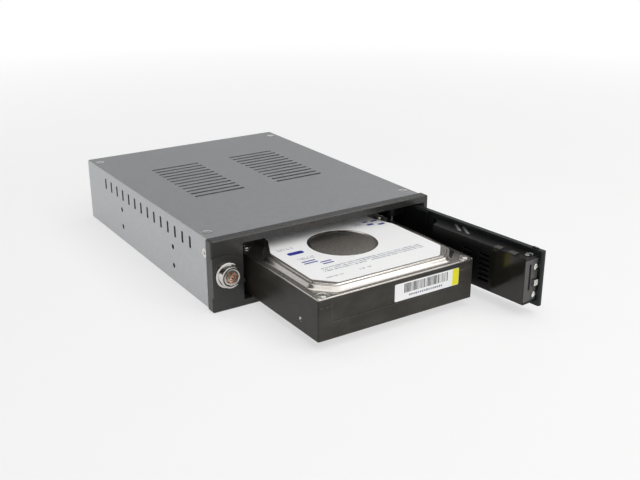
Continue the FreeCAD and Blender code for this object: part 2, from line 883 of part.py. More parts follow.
def fan_guard():
    level = "trayLength + guardWire + 0.05"
    wires = []
    for radius in (5.5, 10.5, 15.5):
        ring = doc.addObject("Part::Torus", "Ring")
        ring.Placement = FreeCAD.Placement(FreeCAD.Vector(), axis_turn["y"])
        bind(ring, "Radius1", radius)
        bind(ring, "Radius2", "guardWire")
        for axis, place in zip("xyz", ("fanX", level, "fanZ")):
            bind(ring, f"Placement.Base.{axis}", place)
        wires.append(ring)
    for across, up in ((1, 1), (-1, 1)):
        spoke = doc.addObject("Part::Cylinder", "Spoke")
        spoke.Placement = FreeCAD.Placement(
            FreeCAD.Vector(), FreeCAD.Rotation(FreeCAD.Vector(0, 0, 1), FreeCAD.Vector(across, 0, up)))
        half = "(fanHolePitch / 2 - 1.8)"
        bind(spoke, "Radius", "guardWire")
        bind(spoke, "Height", f"2 * sqrt(2) * {half}")
        for axis, place in zip("xyz", (f"fanX - ({across}) * {half}", level, f"fanZ - ({up}) * {half}")):
            bind(spoke, f"Placement.Base.{axis}", place)
        wires.append(spoke)
    for across, up in fan_screw_places:
        eye = doc.addObject("Part::Torus", "Eye")
        eye.Placement = FreeCAD.Placement(FreeCAD.Vector(), axis_turn["y"])
        bind(eye, "Radius1", 2.2)
        bind(eye, "Radius2", "guardWire")
        for axis, place in zip("xyz", (across, level, up)):
            bind(eye, f"Placement.Base.{axis}", place)
        wires.append(eye)
    return fuse(*wires)


node("fan_rotor", fan_rotor())
node("fan_guard", fan_guard())
node("fan_screws", screws("y", fan_screw_places, "trayLength + 2 * guardWire + 0.1", "trayLength - 9"))


# ---- Hinge and door, drawn closed with the hinge axis at the local origin ----
# Along the door a place at distance a from the hinge has x = -a; its inner side faces +Y.

def door_box(along, across, up):
    start, end = along
    return box((f"-({end})", f"-({start})"), across, up)


def upright_at(x, y):
    """Picks the upright edges of a padded outline that stand at a place."""
    def chosen(edge):
        centre = edge.BoundBox.Center
        return runs_along(edge, "z") and abs(centre.x - x) < 0.01 and abs(centre.y - y) < 0.01
    return chosen


def hinge_pin():
    foot = "sheetThick + earGap + pinInset"
    top = "openTop - earGap + earThick - pinInset"
    return turned("z", [
        (0, foot),
        ("pinRadius - 0.3", foot),
        ("pinRadius", f"{foot} + 0.3"),
        ("pinRadius", f"{top} - 0.3"),
        ("pinRadius - 0.3", top),
        (0, top),
    ], ("hingeX", "hingeY"))


node("hinge_pin", hinge_pin())


def door_cover_plate():
    plate = padded(
        "z", ("plateLow", "plateHigh"),
        rectangle("-plateEnd", "plateTail", "plateFront", "plateBack"),
    )
    dress(plate, "Fillet", "plateTailRound", upright_at(sizes["plateTail"], sizes["plateFront"]))
    for face in ("plateFront", "plateBack"):
        dress(plate, "Fillet", "plateEndRound", upright_at(-sizes["plateEnd"], sizes[face]))
    return plate


cap_start = "bodyEnd - capThick"
tub_low = "bodyLow + bodyWall"
tub_high = "bodyHigh - bodyWall"
bolt_window = (("boltNear - boltGap", "boltFar + boltGap"), ("boltLow - boltGap", "boltHigh + boltGap"))
cap_screw_places = [("capScrewAcross", "capScrewLow"), ("capScrewAcross", "capScrewHigh")]


def louvres():
    slots = []
    for start, end in ((61.5, 68.8), (74, 82)):
        for row in range(6):
            top = f"louvreTop - {row} * louvrePitch"
            slots.append(door_box((start, end), (-1, "bodyFace + 1"), (f"{top} - louvreHigh", top)))
    return slots


def door_inner_frame():
    tub = cut(
        door_box(("bodyStart", "bodyEnd"), ("plateBack", "bodyFace"), ("bodyLow", "bodyHigh")),
        cylinder("z", ("-coveAlong", "coveAcross"), (0, "bezelHeight"), "coveRadius"),
        door_box(("tubStart", cap_start), ("plateBack - 1", "bodyFace - bodyWall"), (tub_low, tub_high)),
        door_box((cap_start, "bodyEnd + 1"), ("plateBack - 1", "bodyFace + 1"), (tub_low, tub_high)),
    )
    posts = [
        door_box((f"{cap_start} - 6", cap_start), ("plateBack", "bodyFace - bodyWall"),
                 (f"{level} - 2.2", f"{level} + 2.2"))
        for _, level in cap_screw_places
    ]
    latch_block = door_box((f"{cap_start} - 9", cap_start), ("plateBack", "bodyFace - bodyWall"), (16, 22.6))
    channel = door_box((f"{cap_start} - 10", f"{cap_start} + 1"), *bolt_window)
    cam_slot = door_box((f"{cap_start} - 3", f"{cap_start} + 1"), ("slotNear", "slotFar"), ("slotLow", "slotHigh"))
    bores = cylinders("x", cap_screw_places, (f"-({cap_start}) - 1", f"-({cap_start}) + 7"), small_bore)
    return cut(fuse(tub, *posts, latch_block), channel, cam_slot, *bores, *louvres())


def hinge_arm():
    web = door_box(("-8", "armReach"), ("plateBack", "plateBack + armThick"), ("armLow", "armHigh"))
    spans = (("armLow", "armLow + knuckleLong"), ("armHigh - knuckleLong", "armHigh"))
    knuckles = []
    for span in spans:
        knuckles.append(cylinder("z", (0, 0), span, "knuckleRadius"))
        knuckles.append(door_box(("-knuckleRadius", "knuckleRadius"), ("plateBack + armThick / 2", 0), span))
    return cut(fuse(web, *knuckles), cylinder("z", (0, 0), (0, "bezelHeight"), "bushRadius + 0.01"))


def hinge_bushes():
    spans = (("armLow - 0.2", "armLow + knuckleLong"), ("armHigh - knuckleLong", "armHigh + 0.2"))
    return group(*[
        cut(cylinder("z", (0, 0), span, "bushRadius"), cylinder("z", (0, 0), (0, "bezelHeight"), "bushBore"))
        for span in spans
    ])


def door_end_cap():
    block = door_box((cap_start, "bodyEnd"), ("plateBack", "bodyFace"), (tub_low, tub_high))
    return cut(
        block,
        door_box((f"{cap_start} - 1", "bodyEnd + 1"), *bolt_window),
        door_box((f"{cap_start} - 1", "bodyEnd + 1"), ("slotNear", "slotFar"), ("slotLow", "slotHigh")),
        *cylinders("x", cap_screw_places, ("-bodyEnd - 1", f"-({cap_start}) + 1"), small_bore),
    )


def door_gloss_panel():
    panel = padded(
        "y", ("bodyFace", "bodyFace + panelThick"),
        rectangle("-panelEnd", "-panelStart", "panelLow", "panelHigh"),
    )
    return dress(panel, "Fillet", 0.8, lambda edge: runs_along(edge, "y"))


def panel_clips():
    across = ("-1.5", "bodyFace + panelThick")
    top = ("bodyHigh", "bodyHigh + clipThick")
    return group(door_box((84.5, 89.1), across, top), door_box((94.4, 99.4), across, top))


def spring_clips():
    top = ("bodyHigh", "bodyHigh + clipThick")
    clips = []
    for start in (45.5, 51.8):
        clips.append(padded("z", top, [
            (-start, -7.6), (-(start + 8.6), -1.8), (-(start + 10.6), -2.4), (-(start + 2.4), -7.8),
        ]))
    return group(*clips)


def latch_spring():
    top = ("bodyHigh", "bodyHigh + clipThick")
    return padded("z", top, [(-101.4, -5), (-104.4, -7.6), (-105.6, -5.2), (-104.9, -4.9), (-104.2, -6.4),
                             (-101.8, -4.4)])


def door_knob():
    """A low stop on the plate's top edge near its free end."""
    knob = padded(
        "z", ("plateHigh", "plateHigh + knobHigh"),
        rectangle("-knobEnd", "-knobStart", "plateFront + 0.8", "plateBack - 0.6"),
    )
    return dress(knob, "Fillet", "knobHigh", lambda edge: runs_along(edge, "z"))


def latch_bolt():
    bolt = door_box(("boltBack", "boltTip"), ("boltNear", "boltFar"), ("boltLow", "boltHigh"))
    dimple = door_box(("boltTip - boltDimple", "boltTip + 1"), ("boltNear + 0.9", "boltFar - 0.9"),
                      ("boltLow + 0.9", "boltHigh - 0.9"))
    return cut(bolt, dimple)


node("door_cover_plate", door_cover_plate(), in_door=True)
node("door_inner_frame", door_inner_frame(), in_door=True)
node("hinge_arm", hinge_arm(), in_door=True)
node("hinge_bushes", hinge_bushes(), in_door=True)
node("door_end_cap", door_end_cap(), in_door=True)
node("end_cap_screws", screws("x", cap_screw_places, "-bodyEnd", "-bodyEnd + 8", "small", side=-1), in_door=True)
node("door_gloss_panel", door_gloss_panel(), in_door=True)
node("panel_clips", panel_clips(), in_door=True)
node("spring_clips", spring_clips(), in_door=True)
node("latch_spring", latch_spring(), in_door=True)
node("latch_pin", group(cylinder("z", (-103.6, -2.8), ("bodyHigh", "bodyHigh + 0.7"), 1.3)), in_door=True)
node("door_knob", door_knob(), in_door=True)
node("latch_bolt", latch_bolt(), in_door=True)


# ---- Drive ----

cast_top = "driveBottom + castHeight"
flange_top = f"{cast_top} + flangeSheet"
hub_centre = (f"{drive_left} + hubAcross", "driveFront + hubAlong")
cover_screw_insets = [(4.2, 3), (4.2, 82.2), (4.2, 143)]
lid_screw_places = (
    [(f"{drive_left} + {inset}", f"driveFront + {along}") for inset, along in cover_screw_insets]
    + [(f"{drive_right} - {inset}", f"driveFront + {along}") for inset, along in cover_screw_insets]
)
board_x = (f"{drive_left} + 6.3", f"{drive_right} - 6.3")
board_y = ("driveFront + 72", "driveFront + 135")
circuit_screw_places = [(x, y) for x in (-40, 41) for y in (2, 57)]
pocket_x = ("socketX - 23", "socketX + 23")


def drive_base():
    casting = padded(
        "z", ("driveBottom", cast_top),
        rectangle(drive_left, drive_right, "driveFront", drive_back),
    )
    dress(casting, "Fillet", 1, lambda edge: runs_along(edge, "z"))
    side_rows = [f"driveFront + {row}" for row in (16.9, 76.9, 118.5)]
    level = "driveBottom + driveHoleUp"
    left = cylinders("x", [(row, level) for row in side_rows],
                     (f"{drive_left} - 1", f"{drive_left} + driveHoleDeep"), "driveHoleRadius")
    right = cylinders("x", [(row, level) for row in side_rows],
                      (f"{drive_right} - driveHoleDeep", f"{drive_right} + 1"), "driveHoleRadius")
    under = [
        cylinder("z", (f"driveX + ({hand}) * 47.63", f"driveFront + {row}"),
                 ("driveBottom - 1", "driveBottom + driveHoleDeep"), "driveHoleRadius")
        for hand in (-1, 1) for row in (61.27, 105.72)
    ]
    recess = box((f"{board_x[0]} - 1", f"{board_x[1]} + 1"), (f"{board_y[0]} - 1", board_y[1]),
                 ("driveBottom - 1", "driveBottom + 2.2"))
    pocket = box(pocket_x, (board_y[1], f"{drive_back} + 1"), ("driveBottom - 1", "driveBottom + 7.5"))
    motor_seat = cylinder("z", hub_centre, ("driveBottom - 1", "driveBottom + 1.4"), 15.3)
    face_cut = ("driveFront - 1", "driveFront + fieldDeep")
    label_field = box((f"{drive_left} + fieldStart", f"{drive_left} + fieldEnd"), face_cut,
                      ("driveBottom + fieldLow", cast_top))
    ledges = [
        box(across, face_cut, ("driveBottom + ledgeHigh", "driveBottom + ledgeHigh + fieldDeep"))
        for across in ((f"{drive_left} + 1.5", f"{drive_left} + fieldStart"),
                       (f"{drive_left} + fieldEnd", f"{drive_right} - 1.5"))
    ]
    return cut(
        casting, *left, *right, *under, recess, pocket, motor_seat, label_field, *ledges,
        *cylinders("z", lid_screw_places, (f"{cast_top} - 6", f"{cast_top} + 1"), screw_bore),
        *cylinders("z", circuit_screw_places, ("driveBottom", "driveBottom + 8"), small_bore),
    )


def terrace(inset):
    """A step of the cover: corners cut off for the screws, waisted at the middle screws."""
    low, high = f"driveFront + {inset}", f"{drive_back} - {inset}"
    left, right = f"{drive_left} + {inset}", f"{drive_right} - {inset}"
    waist_start, waist_end = "driveFront + 60", "driveFront + 104"
    return [
        (f"{left} + cornerCut", low),
        (f"{right} - cornerCut", low),
        (right, f"{low} + cornerCut"),
        (right, waist_start),
        (f"{right} - 6", f"{waist_start} + 14"),
        (f"{right} - 6", f"{waist_end} - 14"),
        (right, waist_end),
        (right, f"{high} - cornerCut"),
        (f"{right} - cornerCut", high),
        (f"{left} + cornerCut", high),
        (left, f"{high} - cornerCut"),
        (left, waist_end),
        (f"{left} + 8.5", f"{waist_end} - 14"),
        (f"{left} + 8.5", f"{waist_start} + 14"),
        (left, waist_start),
        (left, f"{low} + cornerCut"),
    ]


def drive_cover():
    flange = padded("z", (cast_top, flange_top),
                    rectangle(drive_left, drive_right, "driveFront", drive_back))
    dress(flange, "Fillet", 1, lambda edge: runs_along(edge, "z"))
    steps = [(2.8, flange_top, "driveTop - 1.6"), (4.8, "driveTop - 1.6", "driveTop - 0.7"),
             (6.2, "driveTop - 0.7", "driveTop")]
    terraces = [padded("z", (low, high), terrace(inset)) for inset, low, high in steps]
    return cut(
        fuse(flange, *terraces),
        cylinder("z", hub_centre, ("driveTop - 0.5", "driveTop + 1"), "hubRadius"),
        *cylinders("z", lid_screw_places, (f"{cast_top} - 1", f"{flange_top} + 1"), screw_bore),
    )


def top_label():
    """A sheet with cut-off front corners and a waist, and a round opening over the spindle."""
    points = [(17.4, 8), (84.2, 8), (94, 19), (93.4, 62), (88.4, 75.5), (88.4, 89), (93.4, 102),
              (93.4, 134), (9, 134), (8.6, 104), (17, 91), (17, 78.5), (8.4, 61), (7.8, 18.5)]
    outline = [(f"{drive_left} + {across}", f"driveFront + {along}") for across, along in points]
    return padded("z", ("driveTop", "driveTop + labelThick"), outline, [(*hub_centre, "hubRadius")])


def front_label():
    level = ("driveBottom + 10.1", "driveBottom + 20")
    across = (f"{drive_left} + 47.8", f"{drive_left} + 91.6")
    surface = "driveFront + fieldDeep"
    label = padded("y", (f"{surface} - labelThick", surface), rectangle(*across, *level))
    return dress(label, "Fillet", 0.8, lambda edge: runs_along(edge, "y"))


def drive_connector():
    back = board_y[1]
    shell = box((f"{pocket_x[0]} + 0.2", f"{pocket_x[1]} - 0.2"), (back, f"{back} + 4"),
                ("driveBottom + 0.4", "driveBottom + 7.2"))
    tongue = box(("socketX - tongueWide / 2", "socketX + tongueWide / 2"), (f"{back} + 3.5", f"{drive_back} - 0.5"),
                 ("tongueLow", "tongueHigh"))
    return fuse(shell, tongue)


node("drive_base", drive_base())
node("drive_cover", drive_cover())
node("drive_cover_screws", screws("z", lid_screw_places, flange_top, f"{cast_top} - 5"))
node("top_label", top_label())
node("front_label", front_label())
node("drive_board", cut(
    box(board_x, board_y, ("driveBottom + 0.6", "driveBottom + 2.2")),
    *cylinders("z", circuit_screw_places, ("driveBottom", "driveBottom + 3"), small_bore),
))
node("drive_board_screws", screws("z", circuit_screw_places, "driveBottom + 0.6", "driveBottom + 7.5", "small",
                                  side=-1))
node("drive_connector", drive_connector())
node("spindle_motor", fuse(
    cylinder("z", hub_centre, ("driveBottom + 0.6", "driveBottom + 1.4"), 15),
    cylinder("z", hub_centre, ("driveBottom + 0.3", "driveBottom + 1.4"), 7),
))


# ---- Check and write ----

doc.recompute()
for feature in doc.Objects:
    if any(word in feature.State for word in ("Invalid", "Error")):
        raise RuntimeError(f"{feature.Name} ({feature.Label}) was not made: {feature.State}")
os.makedirs("parts", exist_ok=True)
for feature in nodes:
    shape = feature.Shape
    if shape.isNull() or not shape.isValid():
        raise RuntimeError(f"{feature.Label} has no valid shape")
for feature in nodes:
    feature.Shape.exportStep(f"parts/{feature.Label}.step")
print(len(nodes), "pieces written")
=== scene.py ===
import json
import math
from contextlib import contextmanager
import bmesh
import bpy
from mathutils import Matrix, Vector


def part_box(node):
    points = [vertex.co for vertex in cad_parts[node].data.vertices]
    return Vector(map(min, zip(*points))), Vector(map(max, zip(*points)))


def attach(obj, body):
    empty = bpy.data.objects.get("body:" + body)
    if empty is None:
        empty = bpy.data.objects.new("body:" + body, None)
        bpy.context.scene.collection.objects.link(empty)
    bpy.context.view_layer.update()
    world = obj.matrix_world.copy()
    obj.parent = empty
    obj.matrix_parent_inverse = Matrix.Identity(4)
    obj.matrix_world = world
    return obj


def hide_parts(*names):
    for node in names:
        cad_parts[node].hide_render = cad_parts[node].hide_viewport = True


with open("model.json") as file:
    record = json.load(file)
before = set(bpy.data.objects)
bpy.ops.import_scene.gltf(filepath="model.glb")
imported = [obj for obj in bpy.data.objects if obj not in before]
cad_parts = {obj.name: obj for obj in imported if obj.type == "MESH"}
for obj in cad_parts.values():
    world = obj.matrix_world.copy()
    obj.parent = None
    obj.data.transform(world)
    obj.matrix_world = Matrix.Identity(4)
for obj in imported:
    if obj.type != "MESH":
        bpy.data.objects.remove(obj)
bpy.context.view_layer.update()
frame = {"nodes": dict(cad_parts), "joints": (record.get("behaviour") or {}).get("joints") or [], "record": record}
cadNodes = frame["nodes"]
record = frame["record"]
bodyOf = {node: body for body, members in record["behaviour"]["bodies"].items() for node in members}
slotOf = {row["node"]: row["material_slot"] for row in record["subparts"]}
jointOf = {joint["name"]: joint for joint in frame["joints"]}
mm = 0.001
print("frame loaded:", len(cadNodes), "nodes")


# Meshes

def addPiece(mesh, name=None):
    piece = bpy.data.objects.new(name or mesh.name, mesh)
    bpy.context.scene.collection.objects.link(piece)
    return piece


def meshOf(name, points, edges, faces):
    mesh = bpy.data.meshes.new(name)
    mesh.from_pydata([tuple(point) for point in points], edges, faces)
    return mesh


@contextmanager
def edited(mesh):
    shape = bmesh.new()
    shape.from_mesh(mesh)
    yield shape
    shape.to_mesh(mesh)
    shape.free()


def evaluatedMesh(piece):
    bpy.context.view_layer.update()
    graph = bpy.context.evaluated_depsgraph_get()
    final = piece.evaluated_get(graph)
    return bpy.data.meshes.new_from_object(final, preserve_all_data_layers=True, depsgraph=graph)


def bakeModifiers(piece):
    mesh = evaluatedMesh(piece)
    piece.modifiers.clear()
    piece.data = mesh
    mesh.name = piece.name
    return piece


def roundEdges(piece, width, segments=2, angle=32):
    bevel = piece.modifiers.new("Edges", "BEVEL")
    bevel.width = width * mm
    bevel.segments = segments
    bevel.limit_method = "ANGLE"
    bevel.angle_limit = math.radians(angle)
    return evenNormals(bakeModifiers(piece))


def evenNormals(piece, angle=50):
    # large faces stay flat and the small ones between them take up the turn
    shadeByAngle(piece.data, angle)
    even = piece.modifiers.new("Normals", "WEIGHTED_NORMAL")
    even.mode = "FACE_AREA"
    even.weight = 100
    even.keep_sharp = True
    return bakeModifiers(piece)


def mergedShape(nodeName):
    shape = bmesh.new()
    shape.from_mesh(cadNodes[nodeName].data)
    bmesh.ops.remove_doubles(shape, verts=shape.verts, dist=0.002 * mm)
    return shape


def softCopy(nodeName, pieceName, width, segments=2, angle=32):
    shape = mergedShape(nodeName)
    bmesh.ops.dissolve_limit(shape, angle_limit=math.radians(1), verts=shape.verts, edges=shape.edges)
    mesh = bpy.data.meshes.new(pieceName)
    shape.to_mesh(mesh)
    shape.free()
    return roundEdges(addPiece(mesh), width, segments, angle)


def place(piece, finish, *nodeNames, body=None, slotName=None):
    if finish is not None:
        piece.data.materials.clear()
        piece.data.materials.append(finish)
    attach(piece, body or bodyOf[nodeNames[0]])
    if nodeNames:
        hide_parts(*nodeNames)
    return piece


def twoFinishes(piece, first, second, isSecond):
    # the second finish goes on the faces whose centre passes the test
    for finishName in (first, second):
        piece.data.materials.append(finishes[finishName])
    for face in piece.data.polygons:
        face.material_index = 1 if isSecond(face.center) else 0
    return piece


def islandBoxes(nodeName):
    # the lowest and highest corner of each separate solid in a node, and its points
    shape = mergedShape(nodeName)
    waiting = set(shape.verts)
    boxes = []
    while waiting:
        front = [waiting.pop()]
        island = []
        while front:
            point = front.pop()
            island.append(point.co.copy())
            for edge in point.link_edges:
                other = edge.other_vert(point)
                if other in waiting:
                    waiting.remove(other)
                    front.append(other)
        low = Vector([min(point[axis] for point in island) for axis in range(3)])
        high = Vector([max(point[axis] for point in island) for axis in range(3)])
        boxes.append((low, high, island))
    shape.free()
    return sorted(boxes, key=lambda found: tuple(round(value, 5) for value in found[0]))


def topOutline(nodeName):
    # the corners of the outer edge of a node's highest flat face, in order
    shape = mergedShape(nodeName)
    top = max(point.co.z for point in shape.verts)
    faces = [face for face in shape.faces if all(point.co.z > top - 0.01 * mm for point in face.verts)]
    inside = set(faces)
    rim = {}
    for face in faces:
        for loop in face.loops:
            if not any(other in inside for other in loop.edge.link_faces if other is not face):
                rim[loop.vert] = loop.link_loop_next.vert
    loops = []
    while rim:
        start = next(iter(rim))
        walk = [start]
        following = rim.pop(start)
        while following is not start:
            walk.append(following)
            following = rim.pop(following)
        loops.append([Vector((point.co.x, point.co.y)) for point in walk])
    shape.free()
    outer = max(loops, key=lambda loop: abs(loopArea(loop)))
    return dropStraight(outer)


def loopArea(points):
    sides = zip(points, points[1:] + points[:1])
    return sum(first.x * second.y - second.x * first.y for first, second in sides) / 2


def dropStraight(points):
    kept = []
    for index, point in enumerate(points):
        before = (point - points[index - 1]).normalized()
        after = (points[(index + 1) % len(points)] - point).normalized()
        if abs(before.x * after.y - before.y * after.x) > 0.01:
            kept.append(point)
    if loopArea(kept) < 0:
        kept.reverse()
    return kept


def movedCorners(corners, inset):
    # every side of an outline moved inward by the inset
    moved = []
    count = len(corners)
    for index in range(count):
        before = (corners[index] - corners[index - 1]).normalized()
        after = (corners[(index + 1) % count] - corners[index]).normalized()
        inwardBefore = Vector((-before.y, before.x))
        inwardAfter = Vector((-after.y, after.x))
        middle = (inwardBefore + inwardAfter).normalized()
        moved.append(corners[index] + middle * (inset / max(0.3, middle.dot(inwardAfter))))
    return moved


def roundedLoop(corners, inset, radius, steps=7, sides=6, swing=2.2):
    # an outline with its corners as arcs, moved inward; the same number of points at every inset;
    # swing widens the arcs of the corners that turn outward
    moved = movedCorners(corners, inset)
    count = len(moved)
    arcs = []
    for index in range(count):
        corner = moved[index]
        before = corner - moved[index - 1]
        after = moved[(index + 1) % count] - corner
        turn = before.x * after.y - before.y * after.x
        wanted = radius - inset if turn > 0 else radius * swing + inset
        angle = before.angle(after)
        reach = min(max(wanted, 0.4 * mm) * math.tan(angle / 2), before.length * 0.48, after.length * 0.48)
        start = corner - before.normalized() * reach
        end = corner + after.normalized() * reach
        shares = [step / steps for step in range(steps + 1)]
        arcs.append([start * (1 - share) ** 2 + corner * 2 * share * (1 - share) + end * share ** 2
                     for share in shares])
    points = []
    for arc, following in zip(arcs, arcs[1:] + arcs[:1]):
        points += arc + [arc[-1].lerp(following[0], step / sides) for step in range(1, sides)]
    return points


def ringMesh(name, loops, closeLow=True, closeHigh=True):
    # closed loops of equal length, joined one to the next
    count = len(loops[0])
    points = [point for loop in loops for point in loop]
    faces = []
    for level in range(len(loops) - 1):
        for index in range(count):
            following = (index + 1) % count
            base, above = level * count, (level + 1) * count
            faces.append((base + index, base + following, above + following, above + index))
    if closeLow:
        faces.append(tuple(reversed(range(count))))
    if closeHigh:
        faces.append(tuple(range((len(loops) - 1) * count, len(loops) * count)))
    return meshOf(name, points, [], faces)


def tidyNormals(mesh, merge=0.002):
    with edited(mesh) as shape:
        bmesh.ops.remove_doubles(shape, verts=shape.verts, dist=merge * mm)
        bmesh.ops.recalc_face_normals(shape, faces=shape.faces)
    return mesh


def shadeByAngle(mesh, angle=30):
    for face in mesh.polygons:
        face.use_smooth = True
    with edited(mesh) as shape:
        for edge in shape.edges:
            if len(edge.link_faces) == 2 and edge.calc_face_angle(0) > math.radians(angle):
                edge.smooth = False
    return mesh


def turnedMesh(name, profile, centre, axis="y", steps=64):
    # a profile of (radius, place along the axis) in millimetres, turned about the axis;
    # it starts and ends at radius 0 or closes on itself
    closed = profile[0][0] > 0
    rings = []
    points = []
    for radius, along in profile:
        if radius <= 0:
            rings.append([len(points)])
            points.append(axisPoint(centre, axis, 0, 0, along))
            continue
        ring = []
        for step in range(steps):
            turn = 2 * math.pi * step / steps
            ring.append(len(points))
            points.append(axisPoint(centre, axis, radius * math.cos(turn), radius * math.sin(turn), along))
        rings.append(ring)
    pairs = list(zip(rings, rings[1:]))
    if closed:
        pairs.append((rings[-1], rings[0]))
    faces = []
    for first, second in pairs:
        for step in range(steps):
            following = (step + 1) % steps
            corners = [first[step % len(first)], first[following % len(first)],
                       second[following % len(second)], second[step % len(second)]]
            distinct = list(dict.fromkeys(corners))
            if len(distinct) > 2:
                faces.append(distinct)
    return shadeByAngle(tidyNormals(meshOf(name, points, [], faces)))


def axisPoint(centre, axis, across, up, along):
    offset = {"x": (along, across, up), "y": (across, along, up), "z": (across, up, along)}[axis]
    return tuple(centre[index] + offset[index] * mm for index in range(3))


def boxMesh(name, boxes):
    # separate closed blocks, each given by two corners
    mesh = bpy.data.meshes.new(name)
    with edited(mesh) as shape:
        for low, high in boxes:
            made = bmesh.ops.create_cube(shape, size=1)["verts"]
            bmesh.ops.scale(shape, vec=high - low, verts=made)
            bmesh.ops.translate(shape, vec=(high + low) / 2, verts=made)
    return mesh


# Node trees, for materials and for shapes

def put(tree, kind, inputs=None, **settings):
    item = tree.nodes.new(kind)
    for name, value in settings.items():
        setattr(item, name, value)
    for name, value in (inputs or {}).items():
        if isinstance(value, bpy.types.NodeSocket):
            tree.links.new(value, item.inputs[name])
        else:
            item.inputs[name].default_value = value
    return item


def out(tree, kind, inputs=None, **settings):
    # the same, but gives the new item's first output
    return put(tree, kind, inputs, **settings).outputs[0]


def mathOf(tree, operation, first, second=0.0, third=0.0):
    return out(tree, "ShaderNodeMath", {0: first, 1: second, 2: third}, operation=operation)


def plus(tree, first, second):
    return mathOf(tree, "ADD", first, second)


def minus(tree, first, second):
    return mathOf(tree, "SUBTRACT", first, second)


def times(tree, first, *others):
    for other in others:
        first = mathOf(tree, "MULTIPLY", first, other)
    return first


def between(tree, share, start, end):
    return mathOf(tree, "MULTIPLY_ADD", share, minus(tree, end, start), start)


def mixed(tree, share, first, second):
    return put(tree, "ShaderNodeMix", {0: share, 6: first, 7: second}, data_type="RGBA").outputs[2]


def spread(tree, value, low, high, newLow, newHigh):
    inputs = {"Value": value, "From Min": low, "From Max": high, "To Min": newLow, "To Max": newHigh}
    return out(tree, "ShaderNodeMapRange", inputs)


def noise(tree, coordinate, size, detail=2.0, stretch=None):
    # size is the width of one patch in millimetres
    if stretch:
        coordinate = out(tree, "ShaderNodeMapping", {"Vector": coordinate, "Scale": stretch})
    return out(tree, "ShaderNodeTexNoise", {"Vector": coordinate, "Scale": 1 / (size * mm), "Detail": detail})


def cellsOf(tree, coordinate, size, randomness=1.0, **settings):
    inputs = {"Vector": coordinate, "Scale": 1 / (size * mm), "Randomness": randomness}
    return put(tree, "ShaderNodeTexVoronoi", inputs, **settings).outputs


def bumped(tree, height, depth, normal=None):
    inputs = {"Height": height, "Strength": 1.0, "Distance": depth * mm}
    if normal is not None:
        inputs["Normal"] = normal
    return out(tree, "ShaderNodeBump", inputs)


def colour(red, green, blue):
    return (red, green, blue, 1.0)


def shaded(value, share):
    return tuple(min(1.0, channel * share) for channel in value[:3]) + (1.0,)


def startFinish(name, metallic=0.0, gloss=0.5):
    material = bpy.data.materials.new(name)
    material.use_nodes = True
    tree = material.node_tree
    shader = tree.nodes["Principled BSDF"]
    shader.inputs["Metallic"].default_value = metallic
    shader.inputs["Specular IOR Level"].default_value = gloss
    return material, tree, put(tree, "ShaderNodeTexCoord").outputs["Object"]


def endFinish(material, base, roughness, normal=None):
    tree = material.node_tree
    for socket, value in (("Base Color", base), ("Roughness", roughness), ("Normal", normal)):
        if value is not None:
            tree.links.new(value, tree.nodes["Principled BSDF"].inputs[socket])
    return material


def edgeShare(tree, reach):
    # near 1 along outward edges, 0 on open faces
    inputs = {"Distance": reach * mm}
    occlusion = put(tree, "ShaderNodeAmbientOcclusion", inputs, inside=True, only_local=True, samples=6)
    return spread(tree, occlusion.outputs["AO"], 0.35, 0.9, 1.0, 0.0)


def mouldedPlastic(name, tint, roughness, grain=0.35, depth=0.012, edgeWearAndHighlight=1.6, gloss=0.4, reach=0.5):
    material, tree, spot = startFinish(name, gloss=gloss)
    cloud = noise(tree, spot, 22, 3)
    speck = noise(tree, spot, grain, 2)
    base = mixed(tree, cloud, shaded(tint, 0.82), shaded(tint, 1.2))
    patch = spread(tree, noise(tree, spot, 5, 3), 0.35, 0.65, 0.25, 0.9)
    # rubbed wear plus a painted highlight: the outward edges are lightened, partly as wear and partly to stand in
    # for light catching them
    wearAndHighlightMask = times(tree, edgeShare(tree, reach), patch)
    smear = spread(tree, noise(tree, spot, 9, 4), 0.3, 0.7, roughness - 0.06, roughness + 0.07)
    wearAndHighlightColour = mixed(tree, wearAndHighlightMask, base, shaded(tint, edgeWearAndHighlight))
    return endFinish(material, wearAndHighlightColour, smear, bumped(tree, speck, depth))


def glossPlastic(name, tint, roughness, scratch=0.0015):
    material, tree, spot = startFinish(name)
    lines = noise(tree, spot, 1.2, 3, (1, 1, 18))
    film = noise(tree, spot, 7, 4)
    return endFinish(material, mixed(tree, film, shaded(tint, 0.8), shaded(tint, 1.35)),
                     spread(tree, film, 0.35, 0.7, roughness, roughness + 0.1), bumped(tree, lines, scratch))


def zincSheet(name, tint):
    material, tree, spot = startFinish(name, metallic=1.0)
    flake = out(tree, "ShaderNodeSeparateColor", {0: cellsOf(tree, spot, 2.2)["Color"]})
    rolled = noise(tree, spot, 0.5, 3, (6, 0.25, 6))
    cloud = noise(tree, spot, 45, 3)
    pale = mixed(tree, flake, shaded(tint, 0.95), shaded(tint, 1.04))
    base = mixed(tree, times(tree, cloud, 0.3), pale, shaded(tint, 0.85))
    sheen = plus(tree, spread(tree, flake, 0, 1, 0.38, 0.43), spread(tree, rolled, 0.3, 0.7, -0.02, 0.04))
    return endFinish(material, base, sheen, bumped(tree, rolled, 0.003, bumped(tree, cloud, 0.1)))


def brushedMetal(name, tint, roughness, stretch=(1, 1, 1), grain=0.25, depth=0.003, stain=0.8):
    material, tree, spot = startFinish(name, metallic=1.0)
    lines = noise(tree, spot, grain, 3, stretch)
    cloud = noise(tree, spot, 6, 4)
    sheen = spread(tree, lines, 0.3, 0.7, roughness - 0.07, roughness + 0.09)
    return endFinish(material, mixed(tree, cloud, shaded(tint, stain), shaded(tint, 1.08)), sheen,
                     bumped(tree, lines, depth))


